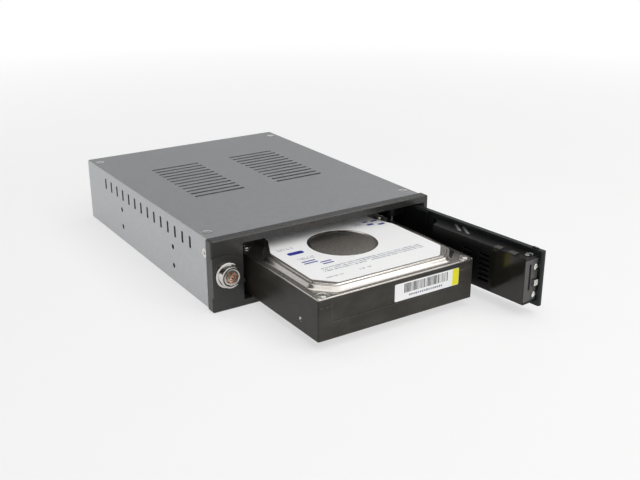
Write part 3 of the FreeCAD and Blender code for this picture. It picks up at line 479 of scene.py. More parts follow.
def chromePlate(name, tint, roughness=0.07):
    material, tree, spot = startFinish(name, metallic=1.0)
    haze = noise(tree, spot, 2.5, 5)
    scratches = noise(tree, spot, 0.35, 2, (1, 8, 1))
    sheen = spread(tree, haze, 0.35, 0.75, roughness, roughness + 0.12)
    return endFinish(material, mixed(tree, haze, shaded(tint, 0.86), shaded(tint, 1)), sheen,
                     bumped(tree, scratches, 0.0012))


def coatedCasting(name, tint):
    material, tree, spot = startFinish(name, gloss=0.24)
    grain = noise(tree, spot, 0.28, 4)
    flow = noise(tree, spot, 14, 5, (1, 1, 2.2))
    base = mixed(tree, spread(tree, flow, 0.35, 0.7, 0, 1), shaded(tint, 0.75), shaded(tint, 1.3))
    chips = spread(tree, noise(tree, spot, 1.4, 4), 0.42, 0.62, 0.25, 1.0)
    chipped = times(tree, edgeShare(tree, 0.3), chips)
    sheen = spread(tree, flow, 0.3, 0.7, 0.3, 0.45)
    return endFinish(material, mixed(tree, chipped, base, colour(0.3, 0.285, 0.26)), sheen,
                     bumped(tree, grain, 0.02, bumped(tree, flow, 0.12)))


def coatedPaper(name, tint):
    material, tree, spot = startFinish(name)
    fibres = noise(tree, spot, 0.25, 3)
    age = noise(tree, spot, 26, 3)
    sheen = spread(tree, fibres, 0.3, 0.7, 0.36, 0.46)
    return endFinish(material, mixed(tree, age, shaded(tint, 0.965), shaded(tint, 1.02)), sheen,
                     bumped(tree, fibres, 0.002, bumped(tree, age, 0.03)))


def printedInk(name, tint):
    material, tree, spot = startFinish(name)
    patchy = noise(tree, spot, 0.4, 3)
    return endFinish(material, mixed(tree, patchy, shaded(tint, 0.75), shaded(tint, 1.3)),
                     spread(tree, patchy, 0.3, 0.7, 0.32, 0.5))


def circuitBoard(name, tint, trackTint):
    material, tree, spot = startFinish(name)
    shader = tree.nodes["Principled BSDF"]
    shader.inputs["Coat Weight"].default_value = 0.3
    shader.inputs["Coat Roughness"].default_value = 0.15
    cells = cellsOf(tree, spot, 2.6, 0.35, distance="MANHATTAN")
    bands = mathOf(tree, "FRACT", times(tree, cells["Distance"], 3.2))
    tracks = mathOf(tree, "LESS_THAN", mathOf(tree, "ABSOLUTE", minus(tree, bands, 0.5)), 0.16)
    dots = mathOf(tree, "LESS_THAN", cellsOf(tree, spot, 4.1)["Distance"], 0.075)
    cloud = noise(tree, spot, 12, 3)
    mask = mixed(tree, cloud, shaded(tint, 0.8), shaded(tint, 1.15))
    lined = mixed(tree, tracks, mask, shaded(trackTint, 1))
    return endFinish(material, mixed(tree, dots, lined, colour(0.55, 0.42, 0.18)),
                     spread(tree, cloud, 0.3, 0.7, 0.28, 0.4), bumped(tree, tracks, 0.03))


finishes = {
    "bezel": mouldedPlastic("satinBezel", (0.026, 0.0255, 0.0245), 0.28, depth=0.004, edgeWearAndHighlight=3,
                            gloss=0.5, reach=0.2),
    "tray": zincSheet("zincTray", (0.50, 0.51, 0.52)),
    "screw": brushedMetal("brightScrew", (0.76, 0.75, 0.72), 0.2, grain=0.3, depth=0.0012),
    "blackScrew": brushedMetal("blackenedScrew", (0.06, 0.06, 0.065), 0.35, grain=0.3),
    "guide": mouldedPlastic("guidePlastic", (0.022, 0.022, 0.023), 0.42, edgeWearAndHighlight=2.6),
    "chrome": chromePlate("lockChrome", (0.68, 0.66, 0.63)),
    "copper": brushedMetal("copperCore", (0.66, 0.42, 0.30), 0.2, grain=0.4),
    "nickel": chromePlate("nickelPost", (0.74, 0.72, 0.68), 0.14),
    "plated": brushedMetal("platedSteel", (0.66, 0.65, 0.62), 0.27, (1, 1, 8)),
    "switch": mouldedPlastic("switchCase", (0.03, 0.03, 0.032), 0.5),
    "greenBoard": circuitBoard("greenBoard", (0.012, 0.09, 0.035), (0.03, 0.17, 0.07)),
    "blueBoard": circuitBoard("blueBoard", (0.008, 0.045, 0.085), (0.02, 0.09, 0.15)),
    "socket": mouldedPlastic("socketPlastic", (0.025, 0.025, 0.027), 0.42),
    "nylon": mouldedPlastic("naturalNylon", (0.74, 0.71, 0.62), 0.4, edgeWearAndHighlight=1.1),
    "sleeve": glossPlastic("capSleeve", (0.012, 0.022, 0.075), 0.22),
    "bareCan": brushedMetal("bareCan", (0.78, 0.78, 0.78), 0.25, grain=0.5),
    "fan": mouldedPlastic("fanPlastic", (0.02, 0.02, 0.021), 0.36, edgeWearAndHighlight=2.0),
    "guardWire": chromePlate("guardWire", (0.72, 0.72, 0.71), 0.16),
    "pin": brushedMetal("groundPin", (0.7, 0.69, 0.67), 0.2, (1, 1, 0.2)),
    "doorPlate": mouldedPlastic("doorPlate", (0.009, 0.0115, 0.012), 0.33, depth=0.006, edgeWearAndHighlight=5, gloss=0.3),
    # the door frame's strong edge lightening is mostly a painted highlight along its louvre edges
    "doorFrame": mouldedPlastic("doorFrame", (0.006, 0.006, 0.0062), 0.33, depth=0.006, edgeWearAndHighlight=16,
                                gloss=0.24, reach=0.25),
    "doorCap": mouldedPlastic("doorCap", (0.078, 0.073, 0.072), 0.42, edgeWearAndHighlight=1.9),
    "clip": brushedMetal("dullClip", (0.16, 0.155, 0.145), 0.38, grain=0.4),
    "glossPanel": glossPlastic("glossPanel", (0.010, 0.008, 0.006), 0.09),
    "acetal": mouldedPlastic("acetalBush", (0.72, 0.7, 0.64), 0.35, edgeWearAndHighlight=1.05),
    "casting": coatedCasting("coatedCasting", (0.039, 0.0355, 0.030)),
    "lid": brushedMetal("pressedLid", (0.55, 0.52, 0.485), 0.22, (0.3, 5, 5), 0.4, 0.0006, 0.93),
    "hub": brushedMetal("hubDisc", (0.6, 0.555, 0.505), 0.3, (0.3, 5, 5), 0.4, 0.0006, 0.93),
    "paper": coatedPaper("labelPaper", (0.9, 0.9, 0.895)),
    "blueInk": printedInk("blueInk", (0.012, 0.016, 0.26)),
    "greyInk": printedInk("greyInk", (0.16, 0.17, 0.24)),
    "blackInk": printedInk("blackInk", (0.05, 0.05, 0.055)),
    "yellowInk": printedInk("yellowInk", (0.86, 0.74, 0.01)),
    "gold": brushedMetal("goldContact", (0.85, 0.62, 0.25), 0.2, grain=0.4),
    "solder": brushedMetal("solder", (0.7, 0.7, 0.7), 0.25, grain=0.6),
    "chip": mouldedPlastic("chipCase", (0.018, 0.018, 0.019), 0.45, grain=0.15),
    "motor": brushedMetal("turnedMotor", (0.62, 0.61, 0.6), 0.25, grain=0.3),
}
print("finishes made:", len(finishes))


# Shapes that repeat

def startTree(name, sockets):
    tree = bpy.data.node_groups.new(name, "GeometryNodeTree")
    tree.interface.new_socket("Geometry", in_out="INPUT", socket_type="NodeSocketGeometry")
    tree.interface.new_socket("Geometry", in_out="OUTPUT", socket_type="NodeSocketGeometry")
    kinds = {float: "NodeSocketFloat", int: "NodeSocketInt", type(None): "NodeSocketMaterial"}
    for label, value in sockets.items():
        socket = tree.interface.new_socket(label, in_out="INPUT", socket_type=kinds[type(value)])
        if value is not None:
            socket.default_value = value
    return tree, tree.nodes.new("NodeGroupInput").outputs


def endTree(tree, given, geometry):
    finished = {"Geometry": realised(tree, geometry), "Material": given["Finish"]}
    put(tree, "NodeGroupOutput", {0: out(tree, "GeometryNodeSetMaterial", finished)})
    return tree


def grow(name, tree, base, values):
    seed = addPiece(base, name + "Seed")
    modifier = seed.modifiers.new("Grow", "NODES")
    modifier.node_group = tree
    for item in tree.interface.items_tree:
        if item.item_type == "SOCKET" and item.in_out == "INPUT" and item.name in values:
            modifier[item.identifier] = values[item.name]
    mesh = evaluatedMesh(seed)
    bpy.data.objects.remove(seed)
    mesh.name = name
    return addPiece(mesh, name)


def startPoints(name, points, facings=None):
    mesh = meshOf(name, points, [], [])
    if facings:
        attribute = mesh.attributes.new("facing", "FLOAT_VECTOR", "POINT")
        attribute.data.foreach_set("vector", [value for facing in facings for value in facing])
    return mesh


def scaled(values, **others):
    # sizes in millimetres turned to metres, with the inputs that aren't sizes
    return {**{label: size * mm for label, size in values.items()}, **others}


def separated(tree):
    return put(tree, "ShaderNodeSeparateXYZ", {0: out(tree, "GeometryNodeInputPosition")}).outputs


def joinedXyz(tree, x=0.0, y=0.0, z=0.0):
    return out(tree, "ShaderNodeCombineXYZ", {0: x, 1: y, 2: z})


def randomOf(tree, low, high, seed, shift=0):
    seeded = plus(tree, seed, shift) if shift else seed
    return put(tree, "FunctionNodeRandomValue", {2: low, 3: high, 8: seeded}, data_type="FLOAT").outputs[1]


def lineOf(tree, count, x=0.0, y=0.0):
    return out(tree, "GeometryNodeMeshLine", {"Count": count, "Offset": joinedXyz(tree, x, y)})


def blockOf(tree, x=1.0, y=1.0, z=1.0):
    return out(tree, "GeometryNodeMeshCube", {"Size": joinedXyz(tree, x, y, z)})


def copiesOf(tree, instance, points, **more):
    return out(tree, "GeometryNodeInstanceOnPoints", {"Points": points, "Instance": instance, **more})


def realised(tree, geometry):
    return out(tree, "GeometryNodeRealizeInstances", {"Geometry": geometry})


def joined(tree, *pieces):
    whole = put(tree, "GeometryNodeJoinGeometry")
    for piece in pieces:
        tree.links.new(piece, whole.inputs[0])
    return whole.outputs[0]


def turnedAbout(tree, rotation, angle):
    twist = out(tree, "FunctionNodeAxisAngleToRotation", {"Axis": (0.0, 0.0, 1.0), "Angle": angle})
    return out(tree, "FunctionNodeRotateRotation", {"Rotation": rotation, "Rotate By": twist},
               rotation_space="LOCAL")


def screwTree(recess):
    tree, given = startTree(recess + "Screw", {
        "Head Radius": 0.0027, "Under Radius": 0.0027, "Head Height": 0.0012, "Dome": 0.0002,
        "Shank Radius": 0.0014, "Length": 0.006, "Recess Radius": 0.0013, "Recess Depth": 0.0008,
        "Seed": 1, "Finish": None})
    tall, socket = given["Head Height"], given["Recess Radius"]
    drum = out(tree, "GeometryNodeMeshCylinder", {
        "Vertices": 36, "Side Segments": 2, "Fill Segments": 4, "Radius": 1.0, "Depth": 1.0})
    x, y, z = separated(tree)
    level = plus(tree, z, 0.5)
    width = between(tree, level, given["Under Radius"], given["Head Radius"])
    reach = plus(tree, times(tree, x, x), times(tree, y, y))
    height = minus(tree, times(tree, minus(tree, level, 1.0), tall), times(tree, reach, level, given["Dome"]))
    target = joinedXyz(tree, times(tree, x, width), times(tree, y, width), height)
    head = out(tree, "GeometryNodeSetPosition", {"Geometry": drum, "Position": target})
    points, share = {"star": (6, 0.72), "cross": (4, 0.36)}[recess]
    star = out(tree, "GeometryNodeCurveStar", {
        "Points": points, "Inner Radius": times(tree, socket, share), "Outer Radius": socket})
    line = out(tree, "GeometryNodeCurvePrimitiveLine", {
        "Start": joinedXyz(tree, z=times(tree, given["Recess Depth"], -1.0)), "End": (0.0, 0.0, 0.001)})
    cutter = out(tree, "GeometryNodeCurveToMesh", {"Curve": line, "Profile Curve": star, "Fill Caps": True})
    cutHead = out(tree, "GeometryNodeMeshBoolean", {0: head, 1: cutter}, operation="DIFFERENCE",
                  solver="EXACT")
    rest = minus(tree, given["Length"], tall)
    shank = out(tree, "GeometryNodeMeshCylinder", {
        "Vertices": 24, "Radius": given["Shank Radius"], "Depth": rest})
    middle = mathOf(tree, "MULTIPLY_ADD", rest, -0.5, times(tree, tall, -0.97))
    drop = joinedXyz(tree, z=middle)
    lowered = out(tree, "GeometryNodeTransform", {"Geometry": shank, "Translation": drop})
    facing = out(tree, "GeometryNodeInputNamedAttribute", {"Name": "facing"}, data_type="FLOAT_VECTOR")
    upright = out(tree, "FunctionNodeAlignRotationToVector", {"Vector": facing}, axis="Z")
    turned = turnedAbout(tree, upright, randomOf(tree, 0.0, 6.28, given["Seed"]))
    whole = joined(tree, cutHead, lowered)
    return endTree(tree, given, copiesOf(tree, whole, given["Geometry"], Rotation=turned))


screwTrees = {recess: screwTree(recess) for recess in ("star", "cross")}


def screwSet(nodeName, pieceName, facing, recess, sizes, finishName, seed):
    facing = Vector(facing).normalized()
    tops, length = [], 0
    for low, high, island in islandBoxes(nodeName):
        along = [point.dot(facing) for point in island]
        middle = (low + high) / 2
        tops.append(middle + facing * (max(along) - middle.dot(facing)))
        length = max(along) - min(along)
    values = scaled(sizes, Seed=seed, Finish=finishes[finishName])
    values["Length"] = length
    points = startPoints(pieceName + "Places", tops, [facing] * len(tops))
    piece = grow(pieceName, screwTrees[recess], points, values)
    return place(roundEdges(piece, *screwEdge), None, nodeName)


def wireTree():
    tree, given = startTree("bentWire", {"Wire Radius": 0.0004, "Sides": 10, "Finish": None})
    curve = out(tree, "GeometryNodeMeshToCurve", {"Mesh": given["Geometry"]})
    ring = out(tree, "GeometryNodeCurvePrimitiveCircle", {
        "Resolution": given["Sides"], "Radius": given["Wire Radius"]})
    tube = out(tree, "GeometryNodeCurveToMesh", {"Curve": curve, "Profile Curve": ring, "Fill Caps": True})
    return endTree(tree, given, out(tree, "GeometryNodeSetShadeSmooth", {"Geometry": tube}))


def wireMesh(name, lines):
    # each line is (points, closed)
    points, edges = [], []
    for line, closed in lines:
        first = len(points)
        points += line
        edges += [(first + step, first + step + 1) for step in range(len(line) - 1)]
        if closed:
            edges.append((first + len(line) - 1, first))
    return meshOf(name, points, edges, [])


def bladeTree():
    tree, given = startTree("fanBlades", {
        "Hub Radius": 0.008, "Tip Radius": 0.0149, "Chord": 0.0115, "Pitch": 0.75, "Camber": 0.0011,
        "Thickness": 0.0007, "Sweep": 0.35, "Blades": 7, "Finish": None})
    sheet = out(tree, "GeometryNodeMeshGrid", {
        "Size X": 1.0, "Size Y": 1.0, "Vertices X": 7, "Vertices Y": 10})
    x, y = separated(tree)[:2]
    share = plus(tree, x, 0.5)
    radius = between(tree, share, given["Hub Radius"], given["Tip Radius"])
    chord = times(tree, y, given["Chord"])
    bulge = times(tree, given["Camber"], minus(tree, 1.0, times(tree, y, y, 4.0)))
    around = times(tree, chord, mathOf(tree, "COSINE", given["Pitch"]))
    along = plus(tree, times(tree, chord, mathOf(tree, "SINE", given["Pitch"])), bulge)
    angle = plus(tree, mathOf(tree, "DIVIDE", around, radius), times(tree, share, given["Sweep"]))
    target = joinedXyz(tree, times(tree, radius, mathOf(tree, "COSINE", angle)),
                       times(tree, radius, mathOf(tree, "SINE", angle)), along)
    bent = out(tree, "GeometryNodeSetPosition", {"Geometry": sheet, "Position": target})
    front = out(tree, "GeometryNodeExtrudeMesh", {
        "Mesh": bent, "Offset Scale": given["Thickness"], "Individual": False}, mode="FACES")
    both = joined(tree, front, out(tree, "GeometryNodeFlipFaces", {"Mesh": bent}))
    blade = out(tree, "GeometryNodeMergeByDistance", {"Geometry": both, "Distance": 1e-6})
    step = mathOf(tree, "DIVIDE", 2 * math.pi, given["Blades"])
    turn = joinedXyz(tree, z=times(tree, out(tree, "GeometryNodeInputIndex"), step))
    return endTree(tree, given, copiesOf(tree, blade, lineOf(tree, given["Blades"]), Rotation=turn))


def rowTree():
    tree, given = startTree("printedRows", {
        "Length": 0.03, "Rows": 2, "Row Pitch": 0.002, "Mark Width": 0.0008, "Mark Height": 0.0008,
        "Gap Share": 0.2, "Ink": 0.00002, "Seed": 1, "Finish": None})
    seed = given["Seed"]
    pitch = times(tree, given["Mark Width"], 1.3)
    columns = mathOf(tree, "FLOOR", mathOf(tree, "DIVIDE", given["Length"], pitch))
    across = lineOf(tree, columns, pitch)
    down = lineOf(tree, given["Rows"], 0.0, times(tree, given["Row Pitch"], -1.0))
    block = realised(tree, copiesOf(tree, across, down))
    points = realised(tree, copiesOf(tree, block, given["Geometry"]))
    shown = mathOf(tree, "GREATER_THAN", randomOf(tree, 0.0, 1.0, seed), given["Gap Share"])
    size = joinedXyz(tree, times(tree, given["Mark Width"], randomOf(tree, 0.55, 1.15, seed, 1)),
                     times(tree, given["Mark Height"], randomOf(tree, 0.6, 1.0, seed, 2)), given["Ink"])
    return endTree(tree, given, copiesOf(tree, blockOf(tree), points, Selection=shown, Scale=size))


def barTree():
    tree, given = startTree("printedBars", {
        "Bars": 40, "Pitch": 0.001, "Bar Height": 0.006, "Ink": 0.00002, "Thinnest": 0.2, "Thickest": 0.8,
        "Seed": 1, "Finish": None})
    line = lineOf(tree, given["Bars"], given["Pitch"])
    points = realised(tree, copiesOf(tree, line, given["Geometry"]))
    width = times(tree, given["Pitch"], randomOf(tree, given["Thinnest"], given["Thickest"], given["Seed"]))
    size = joinedXyz(tree, width, given["Ink"], given["Bar Height"])
    return endTree(tree, given, copiesOf(tree, blockOf(tree), points, Scale=size))


def pinTree():
    tree, given = startTree("contactRow", {
        "Pins": 7, "Pitch": 0.00127, "Size X": 0.0006, "Size Y": 0.003, "Size Z": 0.0003, "Finish": None})
    line = lineOf(tree, given["Pins"], given["Pitch"])
    points = realised(tree, copiesOf(tree, line, given["Geometry"]))
    pin = blockOf(tree, given["Size X"], given["Size Y"], given["Size Z"])
    return endTree(tree, given, copiesOf(tree, pin, points))


def scatterTree():
    tree, given = startTree("boardParts", {
        "Spacing": 0.004, "Density": 40000.0, "Part Length": 0.0016, "Part Width": 0.0008,
        "Part Height": 0.0004, "Seed": 1, "Finish": None})
    seed = given["Seed"]
    spots = put(tree, "GeometryNodeDistributePointsOnFaces", {
        "Mesh": given["Geometry"], "Distance Min": given["Spacing"], "Density Max": given["Density"],
        "Seed": seed}, distribute_method="POISSON").outputs
    quarter = times(tree, mathOf(tree, "ROUND", randomOf(tree, 0.0, 1.0, seed, 3)), math.pi / 2)
    scale = randomOf(tree, 0.7, 1.5, seed, 4)
    part = blockOf(tree, given["Part Length"], given["Part Width"], given["Part Height"])
    parts = copiesOf(tree, part, spots[0], Rotation=turnedAbout(tree, spots["Rotation"], quarter),
                     Scale=joinedXyz(tree, scale, scale, 1.0))
    return endTree(tree, given, parts)


bentWire, fanBlades, printedRows = wireTree(), bladeTree(), rowTree()
printedBars, contactRow, boardParts = barTree(), pinTree(), scatterTree()
print("trees made")


def placeSoft(rows):
    # each row holds a node's piece name, its finish, and the width of its rounded edges with their segments
    for nodeName, (pieceName, finishName, *edge) in rows.items():
        place(softCopy(nodeName, pieceName, *edge), finishes[finishName], nodeName)


# Case

case = {
    "front_bezel": ("bezelFront", "bezel", 0.3, 3), "bottom_tray": ("trayShell", "tray", 0.18),
    "top_cover": ("coverSheet", "tray", 0.25), "rear_panel": ("rearSheet", "tray", 0.18),
    "drive_guide_left": ("driveGuideLeft", "guide", 0.2),
    "drive_guide_right": ("driveGuideRight", "guide", 0.2)}
placeSoft(case)
print("case made")


# Lock

lock = {
    "bore": 4.35, "tube": 6.1, "thread": 4.5, "shaft": 3.1, "rimRound": 0.35, "headDeep": 2.6,
    "neck": [(0, 1.5), (0.15, 1.2)],      # how far outside the tube, and in front of the bezel's boss
    "flange": [(0.25, 1.05), (0.075, 0.95), (0, 0.7), (0, 0)],      # inside the flange's rim, and the same
    "threadPitch": 0.6, "threadStart": 0.1, "threadDeep": 0.3, "threadHalf": 0.35, "threadEnd": 0.7,
    "tipRound": 0.2, "steps": 72,
    "core": (0.09, 2, 25),      # edge width, segments and angle
    "post": {"reach": 2.6, "deep": 1.2}}
lockParts = {
    "lock_nut": ("lockNut", "plated", 0.25), "lock_cam": ("lockCam", "plated", 0.15),
    "lock_switch": ("lockSwitch", "switch", 0.2)}
barrelLow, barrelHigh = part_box("lock_barrel")
lockCentre = ((barrelLow.x + barrelHigh.x) / 2, 0, (barrelLow.z + barrelHigh.z) / 2)


def lockBarrel():
    front, back = barrelLow.y / mm, barrelHigh.y / mm
    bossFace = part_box("front_bezel")[0].y / mm
    flange = (barrelHigh.x - barrelLow.x) / 2 / mm
    rim, bore, tube, thread = lock["rimRound"], lock["bore"], lock["tube"], lock["thread"]
    seat, level = front + lock["headDeep"], bossFace
    profile = [
        (bore, seat), (bore, front + rim), (bore + rim * 0.3, front + rim * 0.3), (bore + rim, front),
        (tube - rim, front), (tube - rim * 0.3, front + rim * 0.3), (tube, front + rim)]
    profile += [(tube + outset, bossFace - above) for outset, above in lock["neck"]]
    profile += [(flange - inset, bossFace - above) for inset, above in lock["flange"]]
    profile.append((thread, bossFace))
    while level < back - lock["threadEnd"]:
        profile += [(thread, level + lock["threadStart"]),
                    (thread - lock["threadDeep"], level + lock["threadHalf"])]
        level += lock["threadPitch"]
    profile += [(thread - lock["tipRound"], back), (lock["shaft"], back), (lock["shaft"], seat)]
    return addPiece(turnedMesh("lockBarrel", profile, lockCentre, "y", lock["steps"]))


def lockCore():
    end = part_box("lock_core")[0].y + lock["post"]["deep"] * mm

    def isPost(spot):
        away = Vector((spot.x - lockCentre[0], spot.z - lockCentre[2])).length
        return away < lock["post"]["reach"] * mm and spot.y < end

    return twoFinishes(softCopy("lock_core", "lockCore", *lock["core"]), "copper", "nickel", isPost)


place(lockBarrel(), finishes["chrome"], "lock_barrel")
place(lockCore(), None, "lock_core")
placeSoft(lockParts)
print("lock made")


# Backplane board and sockets

backplane = {
    "backplane_board": ("backplaneBoard", "greenBoard", 0.08),
    "board_standoffs": ("boardPosts", "plated", 0.15), "drive_socket": ("driveSocket", "socket", 0.15),
    "data_connector": ("dataConnector", "socket", 0.12), "power_connector": ("powerConnector", "nylon", 0.2)}
boardPatch = {"low": (-48, 0, 12.5), "high": (18, 0, 26.5), "rise": 0.2}
boardBits = {"Spacing": 3.4, "Part Length": 1.8, "Part Width": 1.0, "Part Height": 0.5}
contactSize = {"Pitch": 1.27, "Size X": 0.7, "Size Z": 0.2}
socketContacts = {"starts": ((3.4, 7), (12.6, 15)), "back": 2.0, "up": 3.62, "long": 3.6}


def boardFace(name, low, high, axis, level, up):
    # a flat patch for small parts to stand on
    first, second = [index for index in range(3) if index != axis]
    corners = []
    for across, along in ((low, low), (high, low), (high, high), (low, high)):
        point = [0, 0, 0]
        point[first], point[second], point[axis] = across[first], along[second], level
        corners.append(point)
    mesh = meshOf(name, corners, [], [(0, 1, 2, 3)])
    mesh.update()
    if mesh.polygons[0].normal[axis] * up < 0:
        mesh.flip_normals()
    return mesh


def contactRows(name, corner, look, body):
    # rows of gold contacts from a corner; each start is a place across in millimetres and a number of pins
    for index, (start, pins) in enumerate(look["starts"]):
        point = corner + Vector((start * mm, 0, 0))
        values = scaled(contactSize, Pins=pins, Finish=finishes["gold"])
        values["Size Y"] = look["long"] * mm
        row = grow(f"{name}{index}", contactRow, startPoints("row", [point]), values)
        place(row, None, body=body, slotName="socket_plastic")


def backplaneBits():
    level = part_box("backplane_board")[0].y - boardPatch["rise"] * mm
    low, high = Vector(boardPatch["low"]) * mm, Vector(boardPatch["high"]) * mm
    small = grow("backplaneParts", boardParts, boardFace("backplaneFace", low, high, 1, level, -1),
                 scaled(boardBits, Seed=4, Finish=finishes["chip"]))
    place(small, None, body="root", slotName="board_laminate")
    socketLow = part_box("drive_socket")[0]
    corner = socketLow + Vector((0, socketContacts["back"], socketContacts["up"])) * mm
    contactRows("socketContacts", corner, socketContacts, "root")


capacitor = {"round": 0.5, "dip": 0.35, "crimp": (1.0, 1.5, 2.0), "lip": 0.7, "sunk": 0.25, "cap": 0.3,
             "steps": 40}


def capacitors():
    for index, solid in enumerate(islandBoxes("filter_capacitors")):
        low, high = solid[:2]
        radius = (high.x - low.x) / 2 / mm
        base, tip = low.y / mm, high.y / mm
        centre = ((low.x + high.x) / 2, 0, (low.z + high.z) / 2)
        soft, lip, floor = capacitor["round"], radius - capacitor["lip"], tip - capacitor["sunk"]
        start, middle, end = [base + ring for ring in capacitor["crimp"]]
        profile = [
            (0, base), (radius - soft, base), (radius, base + soft), (radius, start),
            (radius - capacitor["dip"], middle), (radius, end), (radius, tip - soft * 0.6),
            (radius - soft * 0.5, tip - 0.1), (lip, tip), (lip - 0.05, floor), (0, floor)]
        piece = addPiece(turnedMesh(f"capacitor{index}", profile, centre, "y", capacitor["steps"]))
        bare = high.y - capacitor["cap"] * mm
        place(twoFinishes(piece, "sleeve", "bareCan", lambda spot: spot.y > bare), None, "filter_capacitors")


placeSoft(backplane)
backplaneBits()
capacitors()
print("backplane made")


# Fan

fan = {"hub": 8.5, "tip": 14.9, "chord": 10.5, "blades": 7, "rootDeep": 0.5, "shaft": 1.0, "shaftLong": 1.8,
       "face": [(3.4, 0.15), (3.0, 0), (1.4, 0), (0.5, 0.3), (0, 1.0)],      # inset from the rim, and depth
       "back": [(0, 0.1), (0.3, 0)],      # the same, seen from the back
       "steps": 56, "smooth": 40,
       "frame": {"fan_frame": ("fanFrame", "fan", 0.3)},
       "guard": {"rings": (5.5, 8.8, 12.1, 15.4), "corner": 14.5, "eye": 2.2, "steps": 48, "eyeSteps": 20}}
fanPivot = Vector(jointOf["fan_spin"]["pos_m"])


def fanRotor():
    low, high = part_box("fan_rotor")
    front, back = low.y / mm, high.y / mm
    hub, inner, shaft = fan["hub"], back - fan["shaftLong"], fan["shaft"]
    profile = [(0, front + fan["face"][0][1])]
    profile += [(hub - inset, front + deep) for inset, deep in fan["face"]]
    profile += [(hub - inset, inner - deep) for inset, deep in fan["back"]]
    profile += [(shaft, inner), (shaft, back), (0, back)]
    mesh = turnedMesh("fanHub", profile, (fanPivot.x, 0, fanPivot.z), "y", fan["steps"])
    place(addPiece(mesh), finishes["fan"], "fan_rotor")
    blades = grow("fanBladeRing", fanBlades, startPoints("bladeSeed", [(0, 0, 0)]), {
        "Hub Radius": (hub - fan["rootDeep"]) * mm, "Tip Radius": fan["tip"] * mm,
        "Chord": fan["chord"] * mm, "Blades": fan["blades"], "Finish": finishes["fan"]})
    middle = (low.y + high.y - fan["shaftLong"] * mm) / 2
    facing = Matrix.Rotation(math.pi / 2, 4, "X")
    blades.data.transform(Matrix.Translation((fanPivot.x, middle, fanPivot.z)) @ facing)
    shadeByAngle(blades.data, fan["smooth"])
    place(blades, None, "fan_rotor")


def circlePoints(centre, radius, steps):
    turns = [2 * math.pi * step / steps for step in range(steps)]
    return [centre + Vector((radius * math.cos(turn), 0, radius * math.sin(turn))) for turn in turns]


def fanGuard():
    low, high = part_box("fan_guard")
    look = fan["guard"]
    centre = Vector((fanPivot.x, (low.y + high.y) / 2, fanPivot.z))
    lines = [(circlePoints(centre, radius * mm, look["steps"]), True) for radius in look["rings"]]
    for across in (-1, 1):
        for up in (-1, 1):
            eye = centre + Vector((across, 0, up)) * look["corner"] * mm
            lines.append((circlePoints(eye, look["eye"] * mm, look["eyeSteps"]), True))
            inward = (centre - eye).normalized()
            ends = [eye + inward * look["eye"] * mm, centre - inward * look["rings"][0] * mm]
            lines.append((ends, False))
    guard = grow("fanGuard", bentWire, wireMesh("guardLines", lines), {
        "Wire Radius": (high.y - low.y) / 2, "Finish": finishes["guardWire"]})
    place(guard, None, "fan_guard")


placeSoft(fan["frame"])
fanRotor()
fanGuard()
print("fan made")


# Door

door = {
    "door_cover_plate": ("doorPlate", "doorPlate", 0.55),
    "door_inner_frame": ("doorFrame", "doorFrame", 0.16), "hinge_arm": ("hingeArm", "doorFrame", 0.3),
    "door_end_cap": ("doorEndCap", "doorCap", 0.16),
    "door_gloss_panel": ("doorGlossPanel", "glossPanel", 0.1),
    "panel_clips": ("panelClips", "clip", 0.1),
    "spring_clips": ("springClips", "plated", 0.1), "latch_spring": ("latchSpring", "plated", 0.08),
    "door_knob": ("doorKnob", "doorFrame", 0.15), "latch_pin": ("latchPin", "plated", 0.15),
    "latch_bolt": ("latchBolt", "plated", 0.12), "hinge_bushes": ("hingeBushes", "acetal", 0.1),
    "hinge_pin": ("hingePin", "pin", 0.08)}
placeSoft(door)
print("door made")


# Drive

driveLow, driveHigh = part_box("drive_base")
lidLow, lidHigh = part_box("drive_cover")
labelLow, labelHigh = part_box("top_label")
frontLabelLow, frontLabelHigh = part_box("front_label")
lidCorners = topOutline("drive_cover")
casting = {"drive_base": ("driveCasting", "casting", 0.22, 3)}
lid = {
    "topInset": 6.2,      # how far the highest face of the CAD cover lies inside the drive's outline
    "cornerRound": 4.5,
    "plateRound": 1.2,
    "profile": [          # inset from the drive's outline, and height above the underside of the lid
        (1.5, 0.6), (1.55, 0.8), (2.0, 0.83), (2.4, 0.89), (2.8, 1.0), (3.1, 1.13), (3.4, 1.34), (3.8, 1.7),
        (4.3, 2.15), (4.75, 2.55), (4.95, 2.71), (5.1, 2.8), (5.3, 2.85), (5.95, 2.85), (6.15, 2.87),
        (6.26, 2.94), (6.38, 3.1), (6.5, 3.26), (6.62, 3.38), (6.74, 3.45), (6.9, 3.49), (7.2, 3.5)],
    "plateProfile": [     # the same for the thin flange under it
        (0.12, 0), (0, 0.12), (0, 0.45), (0.05, 0.6), (0.16, 0.71), (0.3, 0.77), (0.46, 0.8)],
    "hubProfile": [       # inset from the hub's rim, and height above the underside of the lid
        (-0.9, 3.5), (-0.45, 3.47), (-0.15, 3.38), (0.1, 3.15), (0.35, 3.05), (0.7, 3.05), (0.95, 3.12),
        (1.15, 3.14), (1.4, 3.05), (1.7, 3.02)],
    "hubEdge": 1.3,       # where the hub's own finish starts, from the rim
    "hubLevel": 2.5,
    "smooth": 38,
}


def hubRing():
    # centre and radius of the round opening in the top label
    shape = mergedShape("top_label")
    middle = (labelLow + labelHigh) / 2
    rim = [point.co for point in shape.verts
           if (point.co - middle).length < 40 * mm and abs(point.co.x - middle.x) < 30 * mm]
    low = Vector((min(point.x for point in rim), min(point.y for point in rim)))
    high = Vector((max(point.x for point in rim), max(point.y for point in rim)))
    shape.free()
    return (low + high) / 2, (high.x - low.x) / 2


hubCentre, hubRadius = hubRing()


def rectangle(lowX, lowY, highX, highY):
    return [Vector((lowX, lowY)), Vector((highX, lowY)), Vector((highX, highY)), Vector((lowX, highY))]


def atLevel(points, level):
    return [Vector((point.x, point.y, level)) for point in points]


